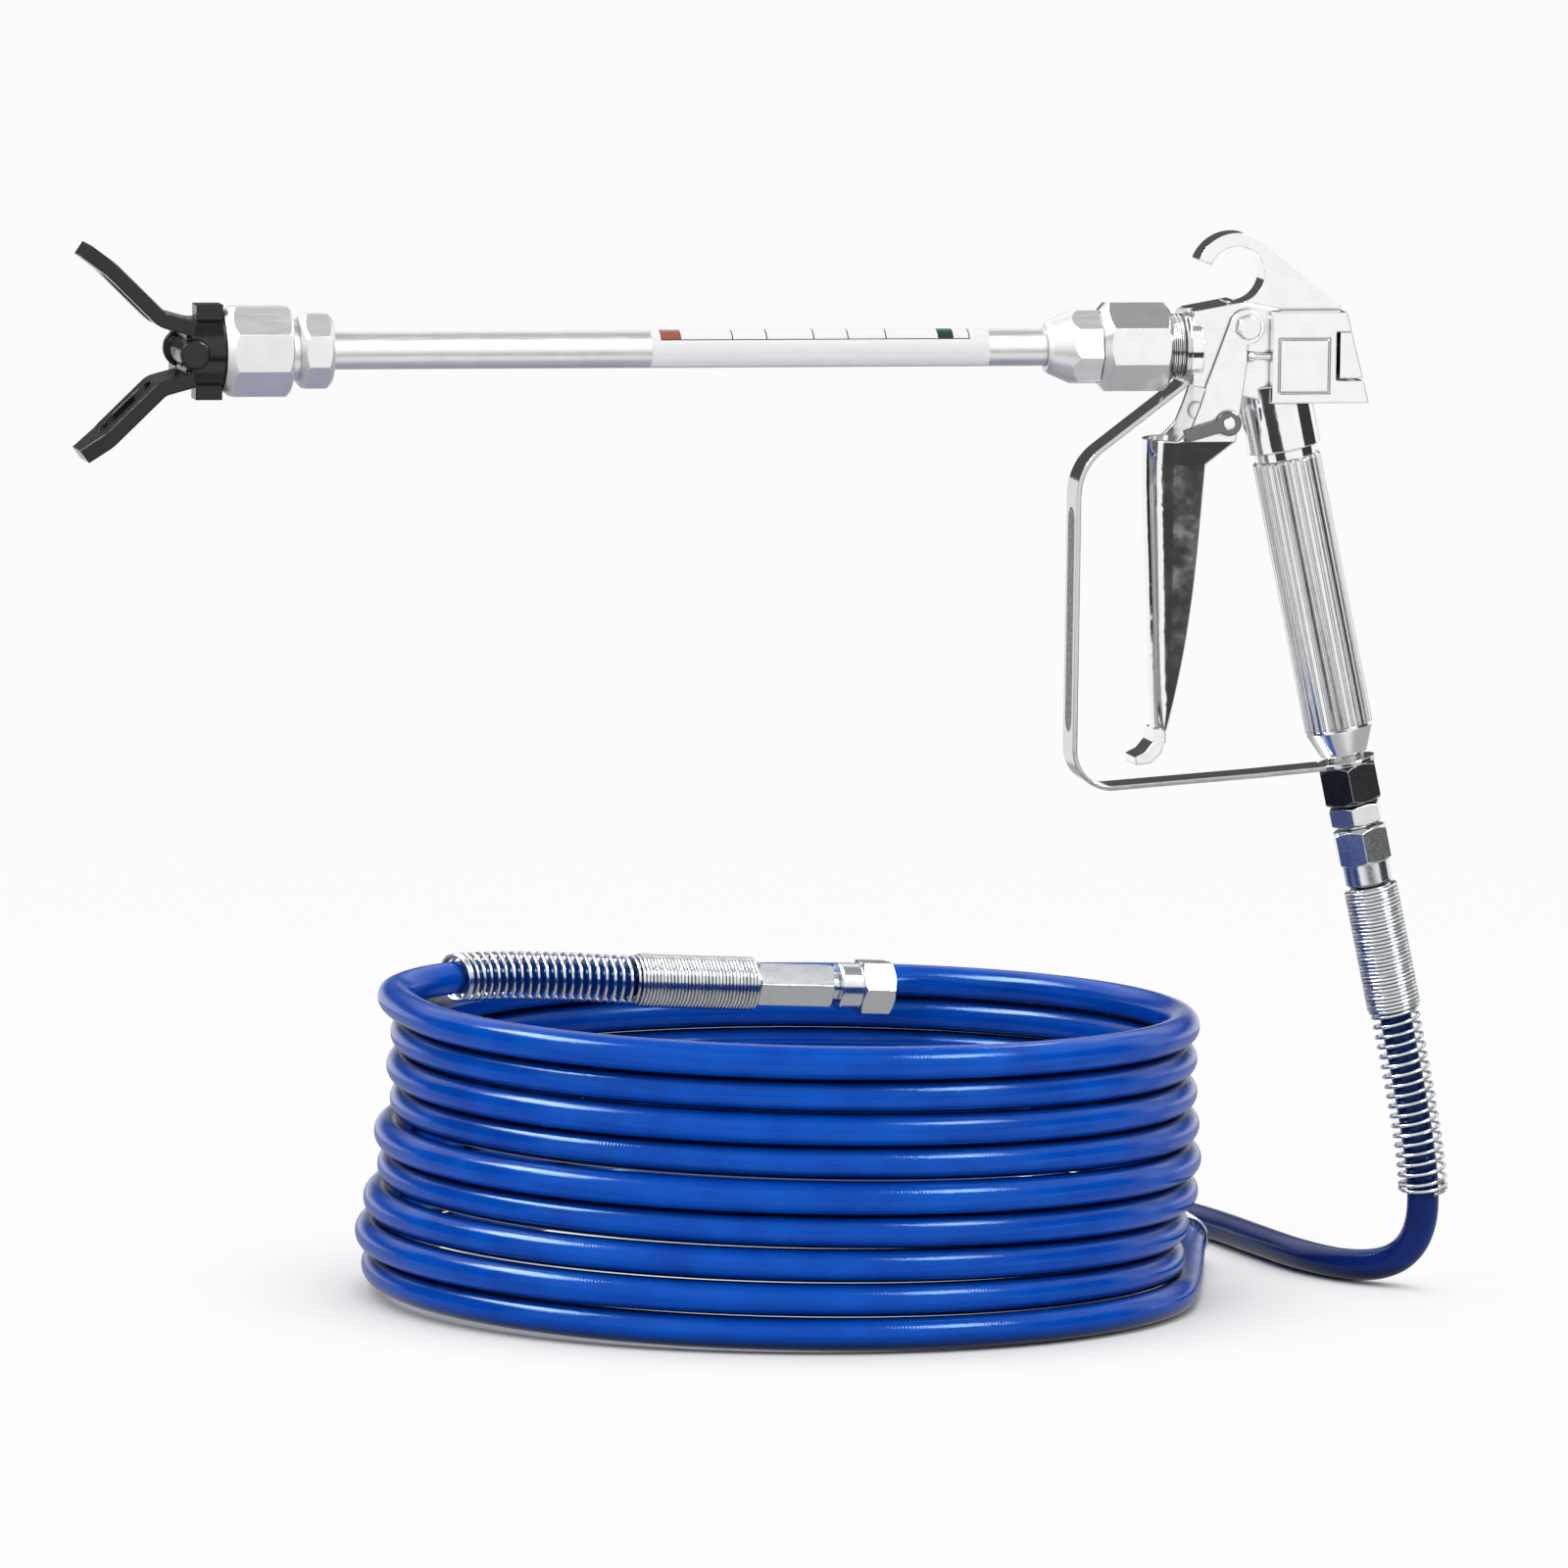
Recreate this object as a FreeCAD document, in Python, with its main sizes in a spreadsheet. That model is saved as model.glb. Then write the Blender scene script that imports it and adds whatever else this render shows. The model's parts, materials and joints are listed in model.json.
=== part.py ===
import FreeCAD, Part

import math
import os
from types import SimpleNamespace

import Sketcher

# Airless spray gun with an extension pole, a tip guard, a leader hose and a coiled main hose.
#
# Frame: millimetres, +Z up. The origin is the middle of the grip, on the grip's axis. The gun stands
# upright with its plane of symmetry in XZ, its muzzle points along -X, and the near side is -Y.
# Two lines carry most of the pieces:
#   the spray line runs along -X at spray_height; a station on it is the distance ahead of the body's face;
#   the grip line leans back by grip_lean; a station on it is the distance below the origin.
# A hose end has a line of its own, which starts at the sealing face of its stem and runs to the hose.

SIZES = {
    "Lines and clearances": {
        "spray_height": 84.2,
        "grip_lean": 12.3,
        "slip": 0.03,
        "free_gap": 0.3,
    },
    "Gun body": {
        "body_front": 46.3,
        "block_half": 10.5,
        "block_nose_top": 12.8,
        "block_nose_foot": 12.6,
        "block_rear_foot": 17.5,
        "box_half": 16.0,
        "box_front": 19.1,
        "box_rear_top": 6.5,
        "box_rear_foot": 14.5,
        "box_above": 12.8,
        "box_below": 18.1,
        "nose_flange_radius": 13.2,
        "nose_flange_thick": 4.0,
        "panel_front": 17.1,
        "panel_rear": 1.0,
        "panel_above": 4.05,
        "panel_below": 15.0,
        "panel_groove": 0.8,
        "panel_depth": 0.5,
        "boss_radius": 12.9,
        "boss_top": 74.0,
        "boss_foot": 51.0,
        "boss_collar": 10.7,
        "fluid_radius": 4.2,
        "fluid_depth": 35.8,
        "inlet_radius": 3.2,
        "inlet_top": 85.5,
    },
    "Hanging hook": {
        "hook_ahead": 29.5,
        "hook_above": 24.8,
        "hook_inner": 9.5,
        "hook_band": 4.7,
        "hook_half": 5.5,
        "hook_tip_angle": 160.0,
        "hook_root_angle": 248.0,
        "hook_slope_angle": 52.0,
    },
    "Outlet fitting and valve": {
        "nose_radius": 11.1,
        "nose_length": 14.0,
        "nose_shank": 8.0,
        "nose_depth": 14.0,
        "nose_bore": 2.5,
        "seat_radius": 5.0,
        "seat_thick": 3.0,
        "seat_bore": 2.0,
        "needle_radius": 1.5,
        "needle_head": 2.8,
        "needle_tip": 1.2,
        "needle_cone": 1.8,
        "needle_reach": 0.8,
        "needle_head_length": 2.6,
        "needle_tail": 4.0,
        "packing_length": 4.5,
        "pin_radius": 1.2,
        "pin_head": 2.0,
        "pin_offset": 12.8,
        "pin_below": 2.4,
        "pin_head_front": 27.2,
        "pin_head_thick": 1.7,
        "plate_front": 8.5,
        "plate_thick": 3.0,
        "plate_half": 14.2,
        "plate_height": 8.0,
        "cavity_front": 9.0,
        "cavity_rear": 1.0,
        "cavity_half": 14.6,
        "cavity_height": 9.4,
        "nut_flats": 5.5,
        "nut_thick": 3.0,
        "spring_radius": 4.7,
        "spring_wall": 1.0,
    },
    "End cap": {
        "cap_front": 4.3,
        "cap_gap": 1.3,
        "cap_below": 9.7,
        "cap_above": 5.9,
        "cap_seam": 0.8,
        "cap_top_seam": 0.25,
        "spigot_radius": 5.8,
        "spigot_bore": 5.0,
        "spigot_length": 4.8,
    },
    "Trigger": {
        "pivot_ahead": 27.4,
        "pivot_above": 7.6,
        "pivot_radius": 2.2,
        "ear_outer": 13.4,
        "ear_thick": 2.2,
        "ear_boss": 6.0,
        "ear_rear": 27.5,
        "web_thick": 2.2,
        "foot_width": 15.0,
        "screw_flats": 7.4,
        "screw_head": 3.4,
        "washer_gap": 0.2,
    },
    "Trigger lock": {
        "lock_ahead": 33.7,
        "lock_height": 59.3,
        "lock_radius": 4.2,
        "lock_thick": 2.2,
        "lock_arm": 15.9,
        "lock_arm_width": 4.2,
        "lock_droop": 16.0,
        "lock_pin_radius": 2.0,
    },
    "Trigger guard": {
        "band_thick": 1.6,
        "band_width": 15.0,
        "ring_radius": 13.2,
        "foot_ring_radius": 10.0,
        "guard_front": 83.7,
        "guard_foot": 66.5,
        "guard_shoulder": 43.8,
        "guard_root": 71.8,
        "guard_turn": 19.0,
        "guard_turn_height": 61.6,
        "guard_bend": 13.0,
        "guard_shoulder_bend": 20.0,
        "guard_root_bend": 2.5,
        "guard_foot_bend": 60.0,
    },
    "Grip": {
        "core_radius": 6.5,
        "core_bore": 4.6,
        "core_top": 62.0,
        "core_end_gap": 3.0,
        "sleeve_radius": 11.7,
        "sleeve_half": 47.5,
        "sleeve_foot": 56.3,
        "sleeve_foot_radius": 8.0,
        "flute_count": 28.0,
        "flute_radius": 0.75,
        "filter_radius": 4.4,
        "filter_wall": 0.6,
        "filter_top": 40.0,
        "lock_nut_top": 60.0,
        "lock_nut_length": 13.0,
        "lock_nut_flats": 19.0,
        "adapter_flats": 16.5,
        "adapter_top": 62.0,
        "adapter_gap": 1.0,
        "adapter_hex_length": 7.0,
        "adapter_collar": 7.0,
        "adapter_neck": 4.5,
        "adapter_neck_length": 3.6,
        "adapter_thread_length": 6.9,
    },
    "Extension pole": {
        "pole_nut_flats": 30.0,
        "pole_nut_rear": 6.35,
        "pole_nut_front": 30.3,
        "pole_nut_step": 19.5,
        "pole_seal_radius": 9.5,
        "pole_seal_thick": 1.5,
        "rear_flange_radius": 10.9,
        "rear_flange_thick": 3.8,
        "rear_shank": 8.4,
        "rear_band_flats": 24.0,
        "rear_band_start": 30.5,
        "rear_band_length": 7.8,
        "rear_cone_length": 10.2,
        "rear_rim_radius": 8.2,
        "tube_radius": 6.35,
        "tube_bore": 4.2,
        "tube_socket": 32.4,
        "tube_length": 265.8,
        "front_fitting_rear": 294.3,
        "front_hex_flats": 25.0,
        "front_hex_length": 11.4,
        "front_neck": 10.0,
        "front_neck_length": 2.5,
        "front_thread_end": 322.2,
        "label_rear": 68.7,
        "label_front": 185.1,
        "label_thick": 0.15,
        "label_wrap": 150.0,
        "label_turn": 20.0,
    },
    "Tip guard and spray tip": {
        "guard_nut_flats": 30.0,
        "guard_nut_rear": 308.6,
        "guard_nut_front": 331.2,
        "guard_nut_lip": 2.5,
        "gasket_radius": 9.0,
        "gasket_bore": 3.0,
        "gasket_thick": 2.5,
        "housing_flange_radius": 10.9,
        "housing_flange_thick": 3.0,
        "housing_neck": 10.2,
        "housing_radius": 12.0,
        "housing_rear": 331.5,
        "housing_front": 344.7,
        "housing_tab_reach": 16.0,
        "housing_tab_thick": 9.0,
        "housing_tab_length": 9.0,
        "tip_seat_radius": 5.0,
        "tip_station": 342.2,
        "tip_radius": 5.0,
        "tip_half": 12.5,
        "tip_orifice": 1.0,
        "handle_thick": 4.0,
        "handle_length": 14.0,
        "handle_height": 17.0,
        "spray_bore": 2.0,
        "wing_root": 342.2,
        "wing_root_height": 8.5,
        "wing_knee": 353.2,
        "wing_knee_height": 11.5,
        "wing_shoulder": 370.7,
        "wing_shoulder_height": 28.5,
        "wing_tip": 378.7,
        "wing_tip_height": 34.5,
        "wing_thick": 5.0,
        "wing_width": 25.0,
        "wing_tip_width": 14.0,
        "wing_slot_width": 12.0,
        "wing_slot_start": 354.7,
        "wing_slot_end": 372.2,
    },
    "Hose ends": {
        "hose_radius": 5.4,
        "hose_nut_flats": 17.5,
        "hose_nut_reach": 9.0,
        "hose_nut_hex": 12.0,
        "hose_nut_lip": 1.3,
        "hose_nut_collar": 8.0,
        "hose_nut_length": 19.5,
        "thread_radius": 6.25,
        "nut_relief_radius": 6.6,
        "nut_relief_length": 0.5,
        "stem_flange": 6.1,
        "stem_flange_thick": 1.1,
        "stem_neck": 5.0,
        "stem_bore": 2.5,
        "stem_barb": 3.0,
        "ferrule_start": 11.3,
        "ferrule_length": 26.7,
        "ferrule_radius": 7.3,
        "ferrule_floor": 4.7,
        "long_ferrule_start": 13.5,
        "long_ferrule_hex": 27.0,
        "long_ferrule_flats": 14.2,
        "pump_ferrule_tail": 24.0,
        "nipple_flats": 16.5,
        "nipple_hex": 6.0,
    },
    "Straight runs of the hoses": {
        "gun_end_run": 41.0,
        "leader_join_run": 50.0,
        "main_join_run": 34.0,
    },
    "Spring guards": {
        "wire_radius": 0.75,
        "tight_length": 43.0,
        "tight_radius": 9.3,
        "open_length": 63.0,
        "pump_open_length": 70.0,
        "open_radius": 8.5,
        "spring_start": 11.9,
    },
    "Hose coil": {
        "floor_height": -240.7,
        "coil_ahead": 175.5,
        "coil_behind": 20.0,
        "coil_pitch": 11.3,
        "coil_start_angle": 188.0,
        "coil_end_angle": 3226.0,
        "coil_pieces": 34.0,
        "upper_lead": 19.0,
        "lower_lead": 25.0,
        "join_right": 103.1,
        "join_back": 152.4,
        "join_heading": 134.0,
        "join_lift": 4.8,
    },
}

# Radius of the coil's middle line after each half turn, from the top of the coil down.
HALF_TURN_RADII = [
    133.5, 133.8, 129.8, 133.5, 131.1, 133.5, 129.8, 134.8, 135.1, 135.1,
    133.8, 134.5, 138.5, 131.1, 141.5, 129.8, 139.5, 136.1, 137.0,
]
# Height of the lowest turn's middle line above that of a hose on the floor, at each quarter turn back
# from its lower end.
LAST_TURN_HEIGHTS = [0.1, 1.2, 4.1, 6.9, 9.7]


class Size(float):
    """A length in millimetres or an angle in degrees that remembers its formula in the sheet's names."""

    def __new__(cls, number, formula):
        size = float.__new__(cls, number)
        size.formula = formula
        return size

    def __add__(self, other):
        return Size(float(self) + float(other), f"({self.formula} + {formula_of(other)})")

    def __radd__(self, other):
        return Size(float(other) + float(self), f"({formula_of(other)} + {self.formula})")

    def __sub__(self, other):
        return Size(float(self) - float(other), f"({self.formula} - {formula_of(other)})")

    def __rsub__(self, other):
        return Size(float(other) - float(self), f"({formula_of(other)} - {self.formula})")

    def __mul__(self, other):
        return Size(float(self) * float(other), f"({self.formula} * {formula_of(other)})")

    def __rmul__(self, other):
        return Size(float(other) * float(self), f"({formula_of(other)} * {self.formula})")

    def __truediv__(self, other):
        return Size(float(self) / float(other), f"({self.formula} / {formula_of(other)})")

    def __neg__(self):
        return Size(-float(self), f"(0 - {self.formula})")


def formula_of(value):
    return value.formula if isinstance(value, Size) else f"{float(value):.9f}"


def cosine(angle):
    return Size(math.cos(math.radians(angle)), f"cos({formula_of(angle)} * 1 deg)")


def sine(angle):
    return Size(math.sin(math.radians(angle)), f"sin({formula_of(angle)} * 1 deg)")


def write_sheet(doc):
    """The spreadsheet of driving dimensions, and the same names as sizes for this file."""
    sheet = doc.addObject("Spreadsheet::Sheet", "Sizes")
    names = {}
    row = 1
    for heading, group in SIZES.items():
        sheet.set(f"A{row}", heading)
        row += 1
        for name, number in group.items():
            sheet.set(f"A{row}", name)
            sheet.set(f"B{row}", str(number))
            sheet.setAlias(f"B{row}", name)
            row += 1
    doc.recompute()
    for group in SIZES.values():
        for name in group:
            names[name] = Size(float(sheet.get(name)), f"Sizes.{name}")
    return SimpleNamespace(**names)


doc = FreeCAD.newDocument("airless_paint_sprayer")
size = write_sheet(doc)

# Stations at the grip's foot, from the lock nut down to the end of the adapter's thread.
LOCK_NUT_FOOT = size.lock_nut_top + size.lock_nut_length
CORE_FOOT = LOCK_NUT_FOOT - size.core_end_gap
ADAPTER_HEX_TOP = LOCK_NUT_FOOT + size.adapter_gap
ADAPTER_HEX_FOOT = ADAPTER_HEX_TOP + size.adapter_hex_length
ADAPTER_THREAD_TOP = ADAPTER_HEX_FOOT + size.adapter_neck_length
ADAPTER_FOOT = ADAPTER_THREAD_TOP + size.adapter_thread_length

SPRAY_TURN = FreeCAD.Rotation(FreeCAD.Vector(0, 1, 0), -90)
SIDEWAYS = FreeCAD.Rotation(FreeCAD.Vector(1, 0, 0), -90)
TO_SIDE = FreeCAD.Rotation(FreeCAD.Vector(1, 0, 0), 90)
FORWARD_PLANE = "YZ_Plane"
SIDE_PLANE = "XZ_Plane"
LEVEL_PLANE = "XY_Plane"


def bind(thing, path, value):
    """Sets a property to a value, and ties it to the sheet if the value comes from there."""
    if isinstance(value, Size):
        thing.setExpression(path, value.formula)


# Placements of the lines


def on_spray_line(thing):
    """Local Z runs forward along the spray line, from the body's front face; local X points up."""
    base = FreeCAD.Vector(-size.body_front, 0, size.spray_height)
    thing.Placement = FreeCAD.Placement(base, SPRAY_TURN)
    bind(thing, "Placement.Base.x", -size.body_front)
    bind(thing, "Placement.Base.z", size.spray_height)


def on_grip_line(thing):
    """Local Z runs down the grip line, from the origin; local X points forward."""
    turn = FreeCAD.Rotation(FreeCAD.Vector(0, 1, 0), 180 - size.grip_lean)
    thing.Placement = FreeCAD.Placement(FreeCAD.Vector(0, 0, 0), turn)
    bind(thing, "Placement.Rotation.Angle", 180 - size.grip_lean)


def in_gun_frame(thing):
    thing.Placement = FreeCAD.Placement()


def grip_point(station):
    """The point of the grip line at a station."""
    lean = math.radians(size.grip_lean)
    return FreeCAD.Vector(station * math.sin(lean), 0, -station * math.cos(lean))


# Sketches and features


def new_body(label, place):
    body = doc.addObject("PartDesign::Body", label)
    body.Label = label
    place(body)
    return body


def sketch_on(body, role, offset=None):
    """A sketch on one of the body's own planes, moved along its normal by offset."""
    plane = [feature for feature in body.Origin.OriginFeatures if feature.Role == role][0]
    sketch = body.newObject("Sketcher::SketchObject", f"{body.Name}_outline")
    sketch.AttachmentSupport = [(plane, "")]
    sketch.MapMode = "FlatFace"
    if offset is not None:
        sketch.AttachmentOffset = FreeCAD.Placement(FreeCAD.Vector(0, 0, float(offset)), FreeCAD.Rotation())
        bind(sketch, "AttachmentOffset.Base.z", offset)
    return sketch


def hold(sketch, kind, *where, value):
    """A dimension in a sketch, tied to the sheet."""
    index = sketch.addConstraint(Sketcher.Constraint(kind, *where, float(value)))
    bind(sketch, f"Constraints[{index}]", value)


def arc_between(start, end, radius):
    """The arc from start to end; a positive radius turns left on the way, a negative one right."""
    middle = (start + end) * 0.5
    half = (end - start).Length / 2
    along = (end - start).normalize()
    left = FreeCAD.Vector(-along.y, along.x, 0)
    side = 1 if radius > 0 else -1
    centre = middle + left * (side * math.sqrt(max(radius * radius - half * half, 0)))
    first, last = (start, end) if side > 0 else (end, start)
    angles = [math.atan2(point.y - centre.y, point.x - centre.x) for point in (first, last)]
    circle = Part.Circle(centre, FreeCAD.Vector(0, 0, 1), abs(radius))
    return Part.ArcOfCircle(circle, angles[0], angles[1])


def outline(sketch, corners):
    """A closed outline. A corner is (x, y), or (x, y, radius) where an arc leads to it."""
    points = [FreeCAD.Vector(float(corner[0]), float(corner[1]), 0) for corner in corners]
    first = sketch.GeometryCount
    ends = []
    for index, point in enumerate(points):
        target = (index + 1) % len(points)
        radius = corners[target][2] if len(corners[target]) == 3 else None
        if radius is None:
            sketch.addGeometry(Part.LineSegment(point, points[target]), False)
            ends.append((1, 2))
        else:
            sketch.addGeometry(arc_between(point, points[target], float(radius)), False)
            ends.append((1, 2) if radius > 0 else (2, 1))
    for index in range(len(points)):
        after = (index + 1) % len(points)
        sketch.addConstraint(
            Sketcher.Constraint("Coincident", first + index, ends[index][1], first + after, ends[after][0])
        )
    for index, corner in enumerate(corners):
        hold(sketch, "DistanceX", -1, 1, first + index, ends[index][0], value=corner[0])
        hold(sketch, "DistanceY", -1, 1, first + index, ends[index][0], value=corner[1])
        before = (index - 1) % len(corners)
        if len(corner) == 3:
            radius = corner[2] if corner[2] > 0 else -corner[2]
            hold(sketch, "Radius", first + before, value=radius)


def circle(sketch, x, y, radius):
    index = sketch.addGeometry(
        Part.Circle(FreeCAD.Vector(float(x), float(y), 0), FreeCAD.Vector(0, 0, 1), float(radius)), False
    )
    hold(sketch, "DistanceX", -1, 1, index, 3, value=x)
    hold(sketch, "DistanceY", -1, 1, index, 3, value=y)
    hold(sketch, "Radius", index, value=radius)


def polygon(sketch, sides, flats, turn=0.0):
    """A regular polygon about the sketch's origin, by its width across flats."""
    reach = 0.5 / math.cos(math.pi / sides)
    corners = []
    for index in range(sides):
        angle = math.radians(360 * (index + 0.5) / sides + turn)
        corners.append((flats * (reach * math.cos(angle)), flats * (reach * math.sin(angle))))
    outline(sketch, corners)


def pad(body, sketch, length, symmetric=False):
    """Adds material along the sketch's normal, or half each way."""
    feature = body.newObject("PartDesign::Pad", f"{body.Name}_pad")
    feature.Profile = (sketch, [""])
    feature.Length = float(length)
    bind(feature, "Length", length)
    if symmetric:
        feature.SideType = "Symmetric"
    return feature


def pocket(body, sketch, length, symmetric=False, along=False):
    """Cuts against the sketch's normal, or along it, or half each way."""
    feature = body.newObject("PartDesign::Pocket", f"{body.Name}_pocket")
    feature.Profile = (sketch, [""])
    feature.Length = float(length)
    bind(feature, "Length", length)
    feature.Reversed = along
    if symmetric:
        feature.SideType = "Symmetric"
    return feature


def turned(label, place, corners):
    """A turned piece: its corners are (radius, station) in the line's own half plane."""
    body = new_body(label, place)
    sketch = sketch_on(body, SIDE_PLANE)
    outline(sketch, corners)
    feature = body.newObject("PartDesign::Revolution", f"{label}_turned")
    feature.Profile = (sketch, [""])
    feature.ReferenceAxis = (sketch, ["V_Axis"])
    feature.Angle = 360
    return body


def mill_flats(body, sides, flats, start, end, turn=0.0):
    """Mills flats on a turned piece between two stations."""
    sketch = sketch_on(body, LEVEL_PLANE, end)
    circle(sketch, 0, 0, flats)
    polygon(sketch, sides, flats, turn)
    pocket(body, sketch, end - start)


def across_corners(flats, sides):
    """Half the width across the corners of a polygon, just past them, for the blank it is milled from."""
    return flats * (0.5 / math.cos(math.pi / sides))


# The gun body


def block_outline():
    """Side view of the block between the nose and the pin box, up to the foot of the hook."""
    return [
        (1 - size.body_front, size.spray_height - size.block_nose_foot),
        (1 - size.body_front, size.spray_height + size.block_nose_top),
        (-size.hook_ahead, size.spray_height + size.hook_above - size.hook_inner + 0.4),
        (-size.box_front + 4, size.spray_height + size.box_above),
        (-size.box_front + 4, size.spray_height - size.box_below),
        (-size.box_front - 2, size.spray_height - size.block_rear_foot),
    ]


def rear_slope(height):
    """X of the body's slanted rear face at a height above the spray line."""
    run = (size.box_rear_foot - size.box_rear_top) / (size.box_above + size.box_below)
    return size.box_rear_top + run * (size.box_above - height)


def hook_outline():
    """Side view of the hook: an open ring that runs out into a sloping back plate."""
    centre_x = -size.hook_ahead
    centre_y = size.spray_height + size.hook_above
    outer = size.hook_inner + size.hook_band

    def at(radius, angle):
        return centre_x + radius * cosine(angle), centre_y + radius * sine(angle)

    slope_start = at(outer, size.hook_slope_angle)
    plate_foot = size.spray_height + size.box_above - 1
    plate_rear = size.box_rear_top + 0.3
    root = at(size.hook_inner, size.hook_root_angle)
    return [
        at(size.hook_inner, size.hook_tip_angle),
        at(outer, size.hook_tip_angle),
        (*slope_start, -outer),
        (plate_rear, size.spray_height + size.box_above + 1.4),
        (plate_rear, plate_foot),
        (-size.box_front - 14, plate_foot - 4),
        (root[0], plate_foot - 3),
        root,
        (centre_x, centre_y - size.hook_inner, size.hook_inner),
        (centre_x + size.hook_inner, centre_y, size.hook_inner),
        (centre_x, centre_y + size.hook_inner, size.hook_inner),
        (*at(size.hook_inner, size.hook_tip_angle), size.hook_inner),
    ][1:]


def make_gun_body():
    body = new_body("gun_body", in_gun_frame)

    sketch = sketch_on(body, SIDE_PLANE)
    outline(sketch, block_outline())
    pad(body, sketch, 2 * size.block_half, symmetric=True)

    sketch = sketch_on(body, SIDE_PLANE)
    top = size.spray_height + size.box_above
    foot = size.spray_height - size.box_below
    rear_foot = (size.box_rear_foot, foot)
    rear_top = (size.box_rear_top, top)
    outline(sketch, [(-size.box_front, foot), rear_foot, rear_top, (-size.box_front, top)])
    pad(body, sketch, 2 * size.box_half, symmetric=True)

    sketch = sketch_on(body, SIDE_PLANE)
    outline(sketch, hook_outline())
    pad(body, sketch, 2 * size.hook_half, symmetric=True)

    sketch = sketch_on(body, FORWARD_PLANE, -size.body_front)
    circle(sketch, 0, size.spray_height, size.nose_flange_radius)
    pad(body, sketch, size.nose_flange_thick)

    add_handle_boss(body)
    bore_gun_body(body)
    cut_cap_notch(body)
    cut_panel(body)
    return body


def add_handle_boss(body):
    """The round boss under the pin box that the grip core screws into, and the narrower collar below it."""
    for radius, foot in ((size.boss_radius, size.boss_foot), (size.boss_collar, size.sleeve_half)):
        sketch = sketch_across_grip(body, size.boss_top)
        circle(sketch, 0, 0, radius)
        pad(body, sketch, size.boss_top - foot)


def sketch_across_grip(body, above):
    """A sketch across the grip line, a distance above the origin; its normal runs down the line."""
    lean = 180 - size.grip_lean
    sketch = sketch_on(body, LEVEL_PLANE)
    turn = FreeCAD.Rotation(FreeCAD.Vector(0, 1, 0), float(lean))
    sketch.AttachmentOffset = FreeCAD.Placement(-grip_point(float(above)), turn)
    bind(sketch, "AttachmentOffset.Base.x", -above * sine(size.grip_lean))
    bind(sketch, "AttachmentOffset.Base.z", above * cosine(size.grip_lean))
    bind(sketch, "AttachmentOffset.Rotation.Angle", lean)
    return sketch


def bore_gun_body(body):
    """Bores on the spray line, the pin box's cavity, the pin and pivot holes and the way up the grip."""
    for radius, depth in (
        (size.nose_shank + size.slip, size.nose_depth),
        (size.fluid_radius, size.fluid_depth),
        (size.needle_radius + size.slip, size.body_front - size.cavity_front + 1),
    ):
        sketch = sketch_on(body, FORWARD_PLANE, -size.body_front)
        circle(sketch, 0, size.spray_height, radius)
        pocket(body, sketch, depth, along=True)

    sketch = sketch_on(body, SIDE_PLANE)
    low = size.spray_height - size.cavity_height / 2
    high = size.spray_height + size.cavity_height / 2
    front, rear = -size.cavity_front, size.cavity_rear
    outline(sketch, [(front, low), (rear, low), (rear, high), (front, high)])
    pocket(body, sketch, 2 * size.cavity_half, symmetric=True)

    sketch = sketch_on(body, FORWARD_PLANE, -size.box_front - 1)
    pin_height = size.spray_height - size.pin_below
    for side in (-1, 1):
        circle(sketch, side * size.pin_offset, pin_height, size.pin_radius + size.slip)
    pocket(body, sketch, size.box_front - size.cavity_front + 2, along=True)

    sketch = sketch_on(body, FORWARD_PLANE, size.cap_front)
    circle(sketch, 0, size.spray_height, size.spigot_radius + size.slip)
    pocket(body, sketch, size.spigot_length + size.free_gap)

    sketch = sketch_on(body, SIDE_PLANE)
    circle(sketch, -size.pivot_ahead, size.spray_height + size.pivot_above, size.pivot_radius + size.slip)
    pocket(body, sketch, 2 * size.box_half + 2, symmetric=True)

    for radius, top in (
        (size.core_radius + size.slip, size.core_top),
        (size.inlet_radius, size.inlet_top),
    ):
        sketch = sketch_across_grip(body, top)
        circle(sketch, 0, 0, radius)
        pocket(body, sketch, top - size.sleeve_half + 1, along=True)


def cut_cap_notch(body):
    """The notch in the rear of the pin box that the end cap fills."""
    front = size.cap_front - size.cap_gap
    low = size.spray_height - size.cap_below - size.cap_seam
    high = size.spray_height + size.cap_above + size.cap_top_seam
    rear = size.box_rear_foot + 5
    sketch = sketch_on(body, SIDE_PLANE)
    outline(sketch, [(front, low), (rear, low), (rear, high), (front, high)])
    pocket(body, sketch, 2 * size.box_half + 2, symmetric=True)


def cut_panel(body):
    """A bare framed panel on the near side of the pin box, drawn by one shallow groove."""
    near = size.box_half
    sketch = sketch_on(body, SIDE_PLANE, near)
    for inset in (0, size.panel_groove):
        left = -size.panel_front + inset
        right = size.panel_rear - inset
        low = size.spray_height - size.panel_below + inset
        high = size.spray_height + size.panel_above - inset
        outline(sketch, [(left, low), (right, low), (right, high), (left, high)])
    pocket(body, sketch, size.panel_depth)


# The valve


def make_outlet_fitting():
    turned(
        "outlet_fitting",
        on_spray_line,
        [
            (size.nose_bore, size.seat_thick - size.nose_depth),
            (size.seat_radius, size.seat_thick - size.nose_depth),
            (size.seat_radius, -size.nose_depth),
            (size.nose_shank, -size.nose_depth),
            (size.nose_shank, size.band_thick),
            (size.nose_radius, size.band_thick),
            (size.nose_radius, size.nose_length - 1),
            (size.nose_radius - 1, size.nose_length),
            (size.nose_bore, size.nose_length),
        ],
    )


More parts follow.
